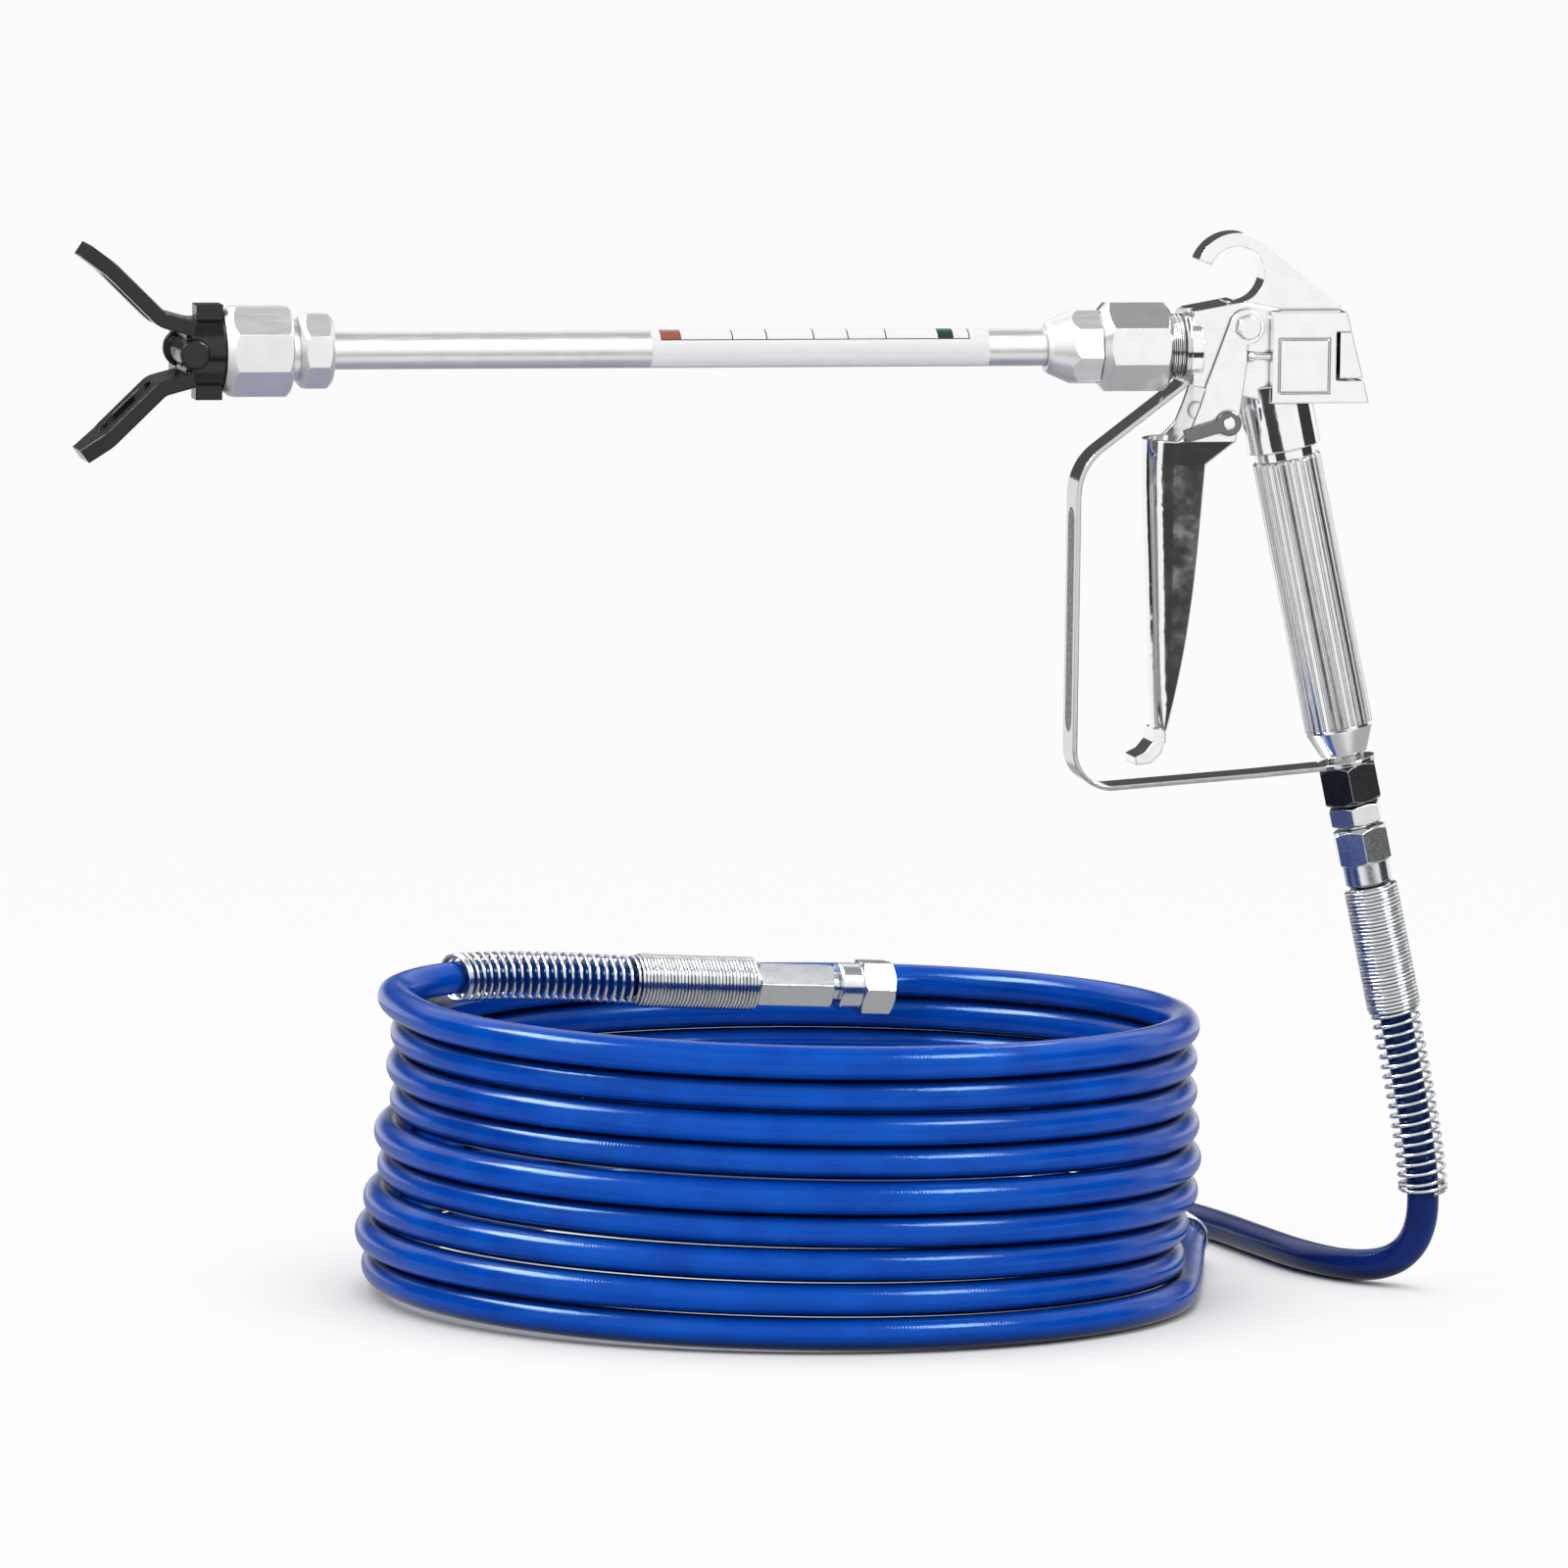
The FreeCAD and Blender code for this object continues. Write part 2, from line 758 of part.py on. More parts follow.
def make_valve():
    seat = -size.nose_depth
    turned(
        "valve_seat",
        on_spray_line,
        [
            (size.seat_bore, seat),
            (size.seat_radius - size.slip, seat),
            (size.seat_radius - size.slip, seat + size.seat_thick),
            (size.seat_bore, seat + size.seat_thick),
        ],
    )
    tip = seat + size.needle_reach
    shoulder = tip - size.needle_cone
    tail = -(size.body_front - size.plate_front) - size.plate_thick - size.needle_tail
    turned(
        "needle",
        on_spray_line,
        [
            (0, tip),
            (size.needle_tip, tip),
            (size.needle_head, shoulder),
            (size.needle_head, shoulder - size.needle_head_length),
            (size.needle_radius, shoulder - size.needle_head_length - 1),
            (size.needle_radius, tail),
            (0, tail),
        ],
    )
    turned(
        "needle_packing",
        on_spray_line,
        [
            (size.needle_radius + size.slip, -size.fluid_depth),
            (size.fluid_radius - size.slip, -size.fluid_depth),
            (size.fluid_radius - size.slip, -size.fluid_depth + size.packing_length),
            (size.needle_radius + size.slip, -size.fluid_depth + size.packing_length),
        ],
    )


def make_actuator():
    """Two pins, the plate that they push, the nut that ties the plate to the needle, and the spring."""
    pins = [turned_pin(side) for side in (-1, 1)]
    both = doc.addObject("Part::Fuse", "actuator_pins")
    both.Label = "actuator_pins"
    both.Base, both.Tool = pins

    body = new_body("actuator_plate", in_gun_frame)
    sketch = sketch_on(body, FORWARD_PLANE, -size.plate_front)
    half = size.plate_height / 2
    outline(
        sketch,
        [
            (-size.plate_half, size.spray_height - half),
            (size.plate_half, size.spray_height - half),
            (size.plate_half, size.spray_height + half),
            (-size.plate_half, size.spray_height + half),
        ],
    )
    circle(sketch, 0, size.spray_height, size.needle_radius + size.slip)
    pad(body, sketch, size.plate_thick)

    rear = -(size.body_front - size.plate_front) - size.plate_thick
    nut = turned(
        "needle_nut",
        on_spray_line,
        [
            (size.needle_radius + size.slip, rear - size.nut_thick),
            (across_corners(size.nut_flats, 6), rear - size.nut_thick),
            (across_corners(size.nut_flats, 6), rear),
            (size.needle_radius + size.slip, rear),
        ],
    )
    mill_flats(nut, 6, size.nut_flats, rear - size.nut_thick, rear)

    far_end = -(size.body_front + size.cap_front - size.cap_gap)
    turned(
        "return_spring",
        on_spray_line,
        [
            (size.spring_radius - size.spring_wall, far_end),
            (size.spring_radius, far_end),
            (size.spring_radius, rear),
            (size.spring_radius - size.spring_wall, rear),
        ],
    )


def turned_pin(side):
    """One actuator pin: a shank through the pin box's front wall, with a bevelled head ahead of it."""
    front = -(size.body_front - size.pin_head_front)
    head_rear = front - size.pin_head_thick
    rear = -(size.body_front - size.plate_front)
    pin = turned(
        f"pin_{'near' if side < 0 else 'far'}",
        on_spray_line,
        [
            (0, rear),
            (size.pin_radius, rear),
            (size.pin_radius, head_rear),
            (size.pin_head, head_rear),
            (size.pin_head, front - 0.9),
            (size.pin_head - 1.1, front),
            (0, front),
        ],
    )
    pin.Placement.Base.y = side * float(size.pin_offset)
    pin.Placement.Base.z = float(size.spray_height - size.pin_below)
    bind(pin, "Placement.Base.y", side * size.pin_offset)
    bind(pin, "Placement.Base.z", size.spray_height - size.pin_below)
    return pin


def make_end_cap():
    """The block in the rear notch, with a hollow spigot that the spring sits in."""
    body = new_body("end_cap", in_gun_frame)
    low = -size.cap_below
    high = size.cap_above
    sketch = sketch_on(body, SIDE_PLANE)
    outline(
        sketch,
        [
            (size.cap_front, size.spray_height + low),
            (rear_slope(low), size.spray_height + low),
            (rear_slope(high), size.spray_height + high),
            (size.cap_front, size.spray_height + high),
        ],
    )
    pad(body, sketch, 2 * size.box_half, symmetric=True)
    sketch = sketch_on(body, FORWARD_PLANE, size.cap_front - size.spigot_length)
    circle(sketch, 0, size.spray_height, size.spigot_radius)
    pad(body, sketch, size.spigot_length)
    sketch = sketch_on(body, FORWARD_PLANE, size.cap_front - size.cap_gap)
    circle(sketch, 0, size.spray_height, size.spigot_bore)
    pocket(body, sketch, size.spigot_length)


# The trigger and its lock

# Stations of the trigger blade, from top to foot: height, front, rear, half width and depth of the round
# front.
BLADE_STATIONS = [
    (53.0, -60.2, -31.0, 13.4, 9.4),
    (45.0, -60.2, -41.2, 12.4, 8.6),
    (22.0, -59.3, -42.6, 11.2, 7.6),
    (-2.0, -58.1, -44.6, 10.2, 6.8),
    (-26.0, -57.0, -48.0, 9.2, 5.4),
    (-46.0, -55.8, -52.2, 8.2, 2.9),
]
EAR_OUTLINE = [
    (-31.5, 96.2),
    (-33.4, 92.6),
    (-38.0, 80.0),
    (-41.0, 72.0),
    (-43.6, 64.1),
    (-46.2, 57.6),
    (-50.6, 53.0),
    (-31.0, 53.0),
    (-29.5, 64.0),
]
FOOT_OUTLINE = [
    (-55.6, -45.5),
    (-56.6, -50.0),
    (-59.2, -53.2),
    (-62.8, -55.0),
    (-62.4, -57.6),
    (-57.4, -57.2),
    (-53.9, -54.0),
    (-52.2, -50.0),
    (-52.2, -45.5),
]


def blade_section(station, inset):
    """A closed section of the blade: a round front and two straight sides."""
    height, front, rear, half, round_depth = station
    front = front + inset
    half = half - inset
    side = front + round_depth
    back = rear + 4 * inset
    corners = [FreeCAD.Vector(x, y, height) for x, y in ((side, -half), (front, 0), (side, half))]
    left = FreeCAD.Vector(back, half, height)
    right = FreeCAD.Vector(back, -half, height)
    edges = [
        Part.Arc(*corners).toShape(),
        Part.makeLine(corners[2], left),
        Part.makeLine(left, right),
        Part.makeLine(right, corners[0]),
    ]
    return Part.Wire(edges)


def blade_solid(inset):
    """The blade between its stations: straight down from the ears, then smooth; inset for its hollow."""
    sections = [blade_section(station, inset) for station in BLADE_STATIONS]
    top = Part.makeLoft(sections[:2], True, True)
    sections = sections[1:] if inset == 0 else sections[1:-1]
    return top.fuse(Part.makeLoft(sections, True, False))


def side_plate(points, inner, outer):
    """A plate in the XZ plane between two distances from the plane of symmetry."""
    corners = [FreeCAD.Vector(x, inner, z) for x, z in points]
    face = Part.Face(Part.makePolygon(corners + corners[:1]))
    return face.extrude(FreeCAD.Vector(0, outer - inner, 0))


def make_trigger():
    """Two ears, a blade that is a channel open to the rear, and a foot that curls forward."""
    ear_inner = float(size.ear_outer - size.ear_thick)
    ear_outer = float(size.ear_outer)
    pivot = FreeCAD.Vector(-size.pivot_ahead, 0, size.spray_height + size.pivot_above)
    ear_points = EAR_OUTLINE + [
        (-float(size.ear_rear), float(size.spray_height - size.pin_below) - 3),
        (-float(size.ear_rear), float(pivot.z) - 3),
    ]
    shape = None
    for side in (-1, 1):
        ear = side_plate(ear_points, side * ear_inner, side * ear_outer)
        boss = Part.makeCylinder(
            float(size.ear_boss),
            float(size.ear_thick),
            FreeCAD.Vector(pivot.x, min(side * ear_inner, side * ear_outer), pivot.z),
            FreeCAD.Vector(0, 1, 0),
        )
        ear = ear.fuse(boss)
        shape = ear if shape is None else shape.fuse(ear)
    blade = blade_solid(0).cut(blade_solid(float(size.web_thick)))
    foot = side_plate(FOOT_OUTLINE, -float(size.foot_width) / 2, float(size.foot_width) / 2)
    shape = shape.fuse([blade, foot])
    outside = -2 * ear_outer
    for x, z, radius, length in (
        (pivot.x, pivot.z, size.pivot_radius + size.slip, 4 * ear_outer),
        (-float(size.lock_ahead), float(size.lock_height), size.lock_pin_radius + size.slip, 2 * ear_outer),
    ):
        start = FreeCAD.Vector(x, outside, z)
        shape = shape.cut(Part.makeCylinder(float(radius), length, start, FreeCAD.Vector(0, 1, 0)))
    add_shape("trigger", shape.removeSplitter())


def add_shape(label, shape, place=None):
    """A sub-part whose form is made by shape functions alone."""
    part = doc.addObject("Part::Feature", label)
    part.Label = label
    part.Shape = shape
    part.Placement = place if place else FreeCAD.Placement()
    return part


def make_pivot():
    """The hexagon-headed pivot screw from the near side, and its dome nut on the far side."""
    near = -size.ear_outer - size.washer_gap

    def across(thing):
        """Local Z runs to the far side, on the pivot's axis."""
        base = FreeCAD.Vector(-size.pivot_ahead, 0, size.spray_height + size.pivot_above)
        thing.Placement = FreeCAD.Placement(base, SIDEWAYS)
        bind(thing, "Placement.Base.x", -size.pivot_ahead)
        bind(thing, "Placement.Base.z", size.spray_height + size.pivot_above)

    corner = across_corners(size.screw_flats, 6)
    far = size.ear_outer + size.washer_gap
    screw = turned(
        "pivot_screw",
        across,
        [
            (0, near - size.screw_head),
            (size.screw_flats / 2, near - size.screw_head),
            (corner, near - size.screw_head + 0.7),
            (corner, near),
            (size.pivot_radius, near),
            (size.pivot_radius, far + size.screw_head - 1),
            (0, far + size.screw_head - 1),
        ],
    )
    mill_flats(screw, 6, size.screw_flats, near - size.screw_head - 1, near, 10)
    nut = turned(
        "pivot_nut",
        across,
        [
            (size.pivot_radius + size.slip, far),
            (corner, far),
            (corner, far + size.screw_head * 0.5),
            (size.screw_flats * 0.42, far + size.screw_head * 0.9),
            (0, far + size.screw_head * 1.1),
            (0, far + size.screw_head - 1 + size.slip),
            (size.pivot_radius + size.slip, far + size.screw_head - 1 + size.slip),
        ],
    )
    mill_flats(nut, 6, size.screw_flats, far, far + size.screw_head * 0.5, 10)


def make_lock():
    """The lock lever outside the near ear, and the pin through that ear that it turns with."""
    near = -size.ear_outer - size.washer_gap
    inside = size.ear_thick - size.ear_outer + size.washer_gap

    def across(thing):
        base = FreeCAD.Vector(-size.lock_ahead, 0, size.lock_height)
        thing.Placement = FreeCAD.Placement(base, SIDEWAYS)
        bind(thing, "Placement.Base.x", -size.lock_ahead)
        bind(thing, "Placement.Base.z", size.lock_height)

    turned(
        "lock_pin",
        across,
        [
            (0, near - size.lock_thick),
            (size.lock_pin_radius, near - size.lock_thick),
            (size.lock_pin_radius, inside),
            (size.lock_pin_radius + 1, inside),
            (size.lock_pin_radius + 1, inside + 1),
            (0, inside + 1),
        ],
    )
    lever = turned(
        "lock_lever",
        across,
        [
            (size.lock_pin_radius + size.slip, near - size.lock_thick),
            (size.lock_radius - 0.4, near - size.lock_thick),
            (size.lock_radius, near - size.lock_thick + 0.4),
            (size.lock_radius, near),
            (size.lock_pin_radius + size.slip, near),
        ],
    )
    sketch = sketch_on(lever, LEVEL_PLANE, near - size.lock_thick)
    width = size.lock_arm_width / 2
    droop_cos = cosine(size.lock_droop)
    droop_sin = sine(size.lock_droop)

    def turned_back(along, across_arm):
        return -along * droop_cos - across_arm * droop_sin, along * droop_sin - across_arm * droop_cos

    root = size.lock_pin_radius + 0.6
    outline(
        sketch,
        [
            turned_back(root, -width),
            turned_back(root, width),
            turned_back(size.lock_arm, width),
            turned_back(size.lock_arm, -width),
        ],
    )
    pad(lever, sketch, size.lock_thick)


# The trigger guard


def strip(points, bends, thick):
    """A flat strip seen edge on: points on its middle line in XZ, with a bend radius at each inner one."""
    sides = []
    for side in (1, -1):
        edges = []
        last = None
        for index in range(len(points) - 1):
            start, end = (FreeCAD.Vector(points[k][0], 0, points[k][1]) for k in (index, index + 1))
            along = (end - start).normalize()
            normal = FreeCAD.Vector(-along.z, 0, along.x) * (side * thick / 2)
            trims = []
            for corner in (index, index + 1):
                if 0 < corner < len(points) - 1:
                    trims.append(bends[corner - 1] * math.tan(half_turn(points, corner)))
                else:
                    trims.append(0.0)
            first = start + along * trims[0] + normal
            final = end - along * trims[1] + normal
            if last is not None:
                turn = half_turn(points, index)
                bend = bends[index - 1]
                centre_side = turning(points, index)
                radius = bend - side * centre_side * thick / 2
                before = FreeCAD.Vector(points[index - 1][0], 0, points[index - 1][1])
                corner = start
                into = (corner - before).normalize()
                bisector = (along - into).normalize()
                centre = corner + bisector * (bend / math.cos(turn))
                middle = centre - bisector * radius
                edges.append(Part.Arc(last, middle, first).toShape())
            edges.append(Part.makeLine(first, final))
            last = final
        sides.append(edges)
    upper, lower = sides
    start_cap = Part.makeLine(lower[0].Vertexes[0].Point, upper[0].Vertexes[0].Point)
    end_cap = Part.makeLine(upper[-1].Vertexes[-1].Point, lower[-1].Vertexes[-1].Point)
    wire = Part.Wire(Part.__sortEdges__(upper + [end_cap] + lower + [start_cap]))
    return Part.Face(wire)


def direction(points, index):
    start, end = points[index], points[index + 1]
    length = math.hypot(end[0] - start[0], end[1] - start[1])
    return (end[0] - start[0]) / length, (end[1] - start[1]) / length


def turning(points, corner):
    """Whether the line turns left (1) or right (-1) at a corner."""
    into, out = direction(points, corner - 1), direction(points, corner)
    return 1 if into[0] * out[1] - into[1] * out[0] > 0 else -1


def half_turn(points, corner):
    into, out = direction(points, corner - 1), direction(points, corner)
    cosine_of_turn = max(-1.0, min(1.0, into[0] * out[0] + into[1] * out[1]))
    return math.acos(cosine_of_turn) / 2


def make_trigger_guard():
    """One bent band with a ring at each end: round the outlet fitting and round the grip core."""
    thick = float(size.band_thick)
    width = float(size.band_width)
    face_x = -float(size.body_front)
    ring_x = face_x - thick / 2
    ring_station = float(size.lock_nut_top) - thick / 2
    foot_ring = grip_point(ring_station)
    points = [
        (ring_x, float(size.spray_height - size.nose_shank - 3)),
        (ring_x, float(size.guard_root)),
        (-float(size.guard_front), float(size.guard_shoulder)),
        (-float(size.guard_front), -float(size.guard_foot)),
        (-float(size.guard_turn), -float(size.guard_turn_height)),
        (foot_ring.x - float(size.core_radius) - 2, foot_ring.z - (float(size.core_radius) + 2) * 0.2),
    ]
    bends = [
        float(size.guard_root_bend),
        float(size.guard_shoulder_bend),
        float(size.guard_bend),
        float(size.guard_foot_bend),
    ]
    band = strip(points, bends, thick).extrude(FreeCAD.Vector(0, width, 0))
    band.translate(FreeCAD.Vector(0, -width / 2, 0))

    forward = FreeCAD.Vector(-1, 0, 0)
    ring = Part.makeCylinder(
        float(size.ring_radius), thick, FreeCAD.Vector(face_x, 0, float(size.spray_height)), forward
    )
    down = grip_point(1.0)
    foot = Part.makeCylinder(float(size.foot_ring_radius), thick, grip_point(ring_station - thick / 2), down)
    shape = band.fuse([ring, foot])
    bores = [
        Part.makeCylinder(
            float(size.nose_shank + size.slip),
            thick + 4,
            FreeCAD.Vector(face_x + 2, 0, float(size.spray_height)),
            forward,
        ),
        Part.makeCylinder(float(size.core_radius + size.slip), thick + 8, grip_point(ring_station - 4), down),
    ]
    add_shape("trigger_guard", shape.cut(bores).removeSplitter())


# The grip


def make_grip():
    turned(
        "grip_core",
        on_grip_line,
        [
            (size.core_bore, -size.core_top),
            (size.core_radius, -size.core_top),
            (size.core_radius, CORE_FOOT),
            (size.core_bore, CORE_FOOT),
        ],
    )
    sleeve = turned(
        "grip_sleeve",
        on_grip_line,
        [
            (size.core_radius + size.slip, -size.sleeve_half),
            (size.sleeve_radius - 0.8, -size.sleeve_half),
            (size.sleeve_radius, -size.sleeve_half + 0.8),
            (size.sleeve_radius, size.sleeve_half),
            (size.sleeve_foot_radius, size.sleeve_foot),
            (size.core_radius + size.slip, size.sleeve_foot),
        ],
    )
    sketch = sketch_on(sleeve, LEVEL_PLANE, size.sleeve_half - 1)
    circle(sketch, size.sleeve_radius + 0.2, 0, size.flute_radius)
    flute = pocket(sleeve, sketch, 2 * size.sleeve_half)
    flutes = sleeve.newObject("PartDesign::PolarPattern", "grip_flutes")
    flutes.Originals = [flute]
    flutes.Axis = (sketch, ["N_Axis"])
    flutes.Angle = 360
    flutes.Occurrences = int(size.flute_count)
    sleeve.Tip = flutes

    turned(
        "grip_filter",
        on_grip_line,
        [
            (0, -size.filter_top),
            (size.filter_radius, -size.filter_top),
            (size.filter_radius, size.adapter_top),
            (size.filter_radius - size.filter_wall, size.adapter_top),
            (size.filter_radius - size.filter_wall, size.filter_wall - size.filter_top),
            (0, size.filter_wall - size.filter_top),
        ],
    )
    corner = across_corners(size.lock_nut_flats, 6)
    nut = turned(
        "guard_lock_nut",
        on_grip_line,
        [
            (size.core_radius + size.slip, size.lock_nut_top),
            (size.lock_nut_flats / 2, size.lock_nut_top),
            (corner, size.lock_nut_top + 1.2),
            (corner, LOCK_NUT_FOOT - 1.2),
            (size.lock_nut_flats / 2, LOCK_NUT_FOOT),
            (size.core_radius + size.slip, LOCK_NUT_FOOT),
        ],
    )
    mill_flats(nut, 6, size.lock_nut_flats, size.lock_nut_top, LOCK_NUT_FOOT, 12)
    make_swivel_adapter()


def make_swivel_adapter():
    """The adapter that screws into the grip core and carries the hose: shank, collar, hexagon, thread."""
    corner = across_corners(size.adapter_flats, 6)
    adapter = turned(
        "swivel_adapter",
        on_grip_line,
        [
            (size.nose_bore, size.adapter_top),
            (size.core_bore - size.slip, size.adapter_top),
            (size.core_bore - size.slip, CORE_FOOT + 0.2),
            (size.core_radius, CORE_FOOT + 0.2),
            (size.core_radius, ADAPTER_HEX_TOP),
            (size.adapter_collar + 0.6, ADAPTER_HEX_TOP),
            (corner, ADAPTER_HEX_TOP + 0.9),
            (corner, ADAPTER_HEX_FOOT - 0.9),
            (size.adapter_flats / 2 - 0.4, ADAPTER_HEX_FOOT),
            (size.adapter_neck, ADAPTER_HEX_FOOT),
            (size.adapter_neck, ADAPTER_THREAD_TOP),
            (size.thread_radius - size.slip - 0.8, ADAPTER_THREAD_TOP),
            (size.thread_radius - size.slip, ADAPTER_THREAD_TOP + 0.8),
            (size.thread_radius - size.slip, ADAPTER_FOOT),
            (size.nose_bore, ADAPTER_FOOT),
        ],
    )
    mill_flats(adapter, 6, size.adapter_flats, ADAPTER_HEX_TOP, ADAPTER_HEX_FOOT, 20)


# The extension pole


def make_pole():
    seal_front = size.nose_length + size.pole_seal_thick
    turned(
        "pole_seal",
        on_spray_line,
        [
            (size.tube_bore, size.nose_length),
            (size.pole_seal_radius, size.nose_length),
            (size.pole_seal_radius, seal_front),
            (size.tube_bore, seal_front),
        ],
    )
    corner = across_corners(size.pole_nut_flats, 8)
    bore = size.nose_radius + size.slip
    nut = turned(
        "pole_nut",
        on_spray_line,
        [
            (bore, size.pole_nut_rear),
            (size.pole_nut_flats / 2 - 1.6, size.pole_nut_rear),
            (corner, size.pole_nut_rear + 2.4),
            (corner, size.pole_nut_front - 3.2),
            (size.rear_band_flats / 2 + 0.6, size.pole_nut_front),
            (size.rear_shank + size.slip, size.pole_nut_front),
            (size.rear_shank + size.slip, size.pole_nut_step),
            (bore, size.pole_nut_step),
        ],
    )
    mill_flats(nut, 8, size.pole_nut_flats, size.pole_nut_rear, size.pole_nut_front, 5)
    make_rear_fitting(seal_front)
    turned(
        "pole_tube",
        on_spray_line,
        [
            (size.tube_bore, size.tube_socket),
            (size.tube_radius, size.tube_socket),
            (size.tube_radius, size.tube_socket + size.tube_length),
            (size.tube_bore, size.tube_socket + size.tube_length),
        ],
    )
    make_front_fitting()
    make_label()


def make_rear_fitting(rear):
    """The fitting at the rear of the pole: a flange in the nut, an octagonal band and a long cone."""
    flange = rear + size.rear_flange_thick
    band = size.rear_band_start
    cone = band + size.rear_band_length
    rim = cone + size.rear_cone_length
    socket = size.tube_radius + size.slip
    corner = across_corners(size.rear_band_flats, 8)
    fitting = turned(
        "pole_rear_fitting",
        on_spray_line,
        [
            (size.tube_bore, rear),
            (size.rear_flange_radius, rear),
            (size.rear_flange_radius, flange),
            (size.rear_shank, flange),
            (size.rear_shank, band),
            (corner, band),
            (corner, cone),
            (size.rear_rim_radius + 0.9, rim - 1.2),
            (size.rear_rim_radius, rim),
            (socket, rim),
            (socket, size.tube_socket),
            (size.tube_bore, size.tube_socket),
        ],
    )
    mill_flats(fitting, 8, size.rear_band_flats, band, rim, 10)


def make_front_fitting():
    """The fitting at the front of the pole: an octagon on the tube, a neck and the guard's thread."""
    rear = size.front_fitting_rear
    octagon = rear + size.front_hex_length
    neck = octagon + size.front_neck_length
    socket = size.tube_radius + size.slip
    corner = across_corners(size.front_hex_flats, 8)
    fitting = turned(
        "pole_front_fitting",
        on_spray_line,
        [
            (socket, rear),
            (size.front_hex_flats / 2 - 1.2, rear),
            (corner, rear + 2.2),
            (corner, octagon - 2.6),
            (size.front_hex_flats / 2 - 1.6, octagon),
            (size.front_neck, octagon),
            (size.front_neck, neck),
            (size.nose_radius - 1, neck),
            (size.nose_radius, neck + 1),
            (size.nose_radius, size.front_thread_end),
            (size.tube_bore, size.front_thread_end),
            (size.tube_bore, size.tube_socket + size.tube_length),
            (socket, size.tube_socket + size.tube_length),
        ],
    )
    mill_flats(fitting, 8, size.front_hex_flats, rear, octagon, 3)


def make_label():
    """A bare label round the upper near side of the tube."""
    inner = float(size.tube_radius + size.slip / 3)
    outer = inner + float(size.label_thick)
    front = -float(size.body_front + size.label_front)
    length = float(size.label_front - size.label_rear)
    centre = FreeCAD.Vector(front, 0, float(size.spray_height))
    along = FreeCAD.Vector(1, 0, 0)
    outside = Part.makeCylinder(outer, length, centre, along, float(size.label_wrap))
    label = outside.cut(Part.makeCylinder(inner, length, centre, along))
    label.rotate(centre, along, float(size.label_turn) - 90)
    add_shape("pole_label", label)


# The tip guard and the spray tip


def make_guard_nut():
    corner = across_corners(size.guard_nut_flats, 8)
    bore = size.nose_radius + size.slip
    lip = size.guard_nut_front - size.guard_nut_lip
    nut = turned(
        "guard_nut",
        on_spray_line,
        [
            (bore, size.guard_nut_rear),
            (size.guard_nut_flats / 2 - 0.6, size.guard_nut_rear),
            (corner, size.guard_nut_rear + 1.8),
            (corner, size.guard_nut_front - 3.6),
            (size.guard_nut_flats / 2 - 2.0, size.guard_nut_front),
            (size.housing_neck + size.slip, size.guard_nut_front),
            (size.housing_neck + size.slip, lip),
            (bore, lip),
        ],
    )
    mill_flats(nut, 8, size.guard_nut_flats, size.guard_nut_rear, size.guard_nut_front, 2)


def make_seat():
    gasket_front = size.front_thread_end + size.gasket_thick
    turned(
        "seat_gasket",
        on_spray_line,
        [
            (size.gasket_bore, size.front_thread_end),
            (size.gasket_radius, size.front_thread_end),
            (size.gasket_radius, gasket_front),
            (size.gasket_bore, gasket_front),
        ],
    )
    turned(
        "tip_seat",
        on_spray_line,
        [
            (size.spray_bore, gasket_front),
            (size.tip_seat_radius, gasket_front),
            (size.tip_seat_radius, size.tip_station - size.tip_radius - size.free_gap),
            (size.spray_bore, size.tip_station - size.tip_radius - size.free_gap),
        ],
    )


def make_tip_guard():
    """The housing that holds the tip, and two slotted wings that open into a V."""
    flange_front = size.guard_nut_front - size.guard_nut_lip - 0.2
    flange_rear = flange_front - size.housing_flange_thick
    bore = size.tip_seat_radius + size.slip
    housing = turned(
        "tip_housing",
        on_spray_line,
        [
            (bore, flange_rear),
            (size.housing_flange_radius, flange_rear),
            (size.housing_flange_radius, flange_front),
            (size.housing_neck, flange_front),
            (size.housing_neck, size.housing_rear),
            (size.housing_radius, size.housing_rear),
            (size.housing_radius, size.housing_front - 1),
            (size.housing_radius - 1, size.housing_front),
            (bore, size.housing_front),
        ],
    )
    pieces = [housing]
    for side in (1, -1):
        wing = wing_solid(side)
        piece = doc.addObject("Part::Feature", f"wing_{'upper' if side > 0 else 'lower'}")
        piece.Shape = wing
        pieces.append(piece)
        tab = doc.addObject("Part::Box", f"tab_{'upper' if side > 0 else 'lower'}")
        on_spray_line(tab)
        reach = size.housing_tab_reach - size.housing_radius + 4
        bind(tab, "Length", reach)
        bind(tab, "Width", size.housing_tab_thick)
        bind(tab, "Height", size.housing_tab_length)
        low = size.housing_radius - 4 if side > 0 else -size.housing_tab_reach
        bind(tab, "Placement.Base.x", -size.body_front - size.housing_rear)
        bind(tab, "Placement.Base.y", -size.housing_tab_thick / 2)
        bind(tab, "Placement.Base.z", size.spray_height + low)
        pieces.append(tab)
    whole = doc.addObject("Part::MultiFuse", "tip_guard_blank")
    whole.Shapes = pieces
    barrel_bore = doc.addObject("Part::Cylinder", "tip_bore")
    barrel_bore.Placement = FreeCAD.Placement(FreeCAD.Vector(0, 0, 0), TO_SIDE)
    bind(barrel_bore, "Radius", size.tip_radius + size.slip)
    bind(barrel_bore, "Height", 4 * size.tip_half)
    bind(barrel_bore, "Placement.Base.x", -size.body_front - size.tip_station)
    bind(barrel_bore, "Placement.Base.y", 2 * size.tip_half)
    bind(barrel_bore, "Placement.Base.z", size.spray_height)
    guard = doc.addObject("Part::Cut", "tip_guard")
    guard.Label = "tip_guard"
    guard.Base = whole
    guard.Tool = barrel_bore


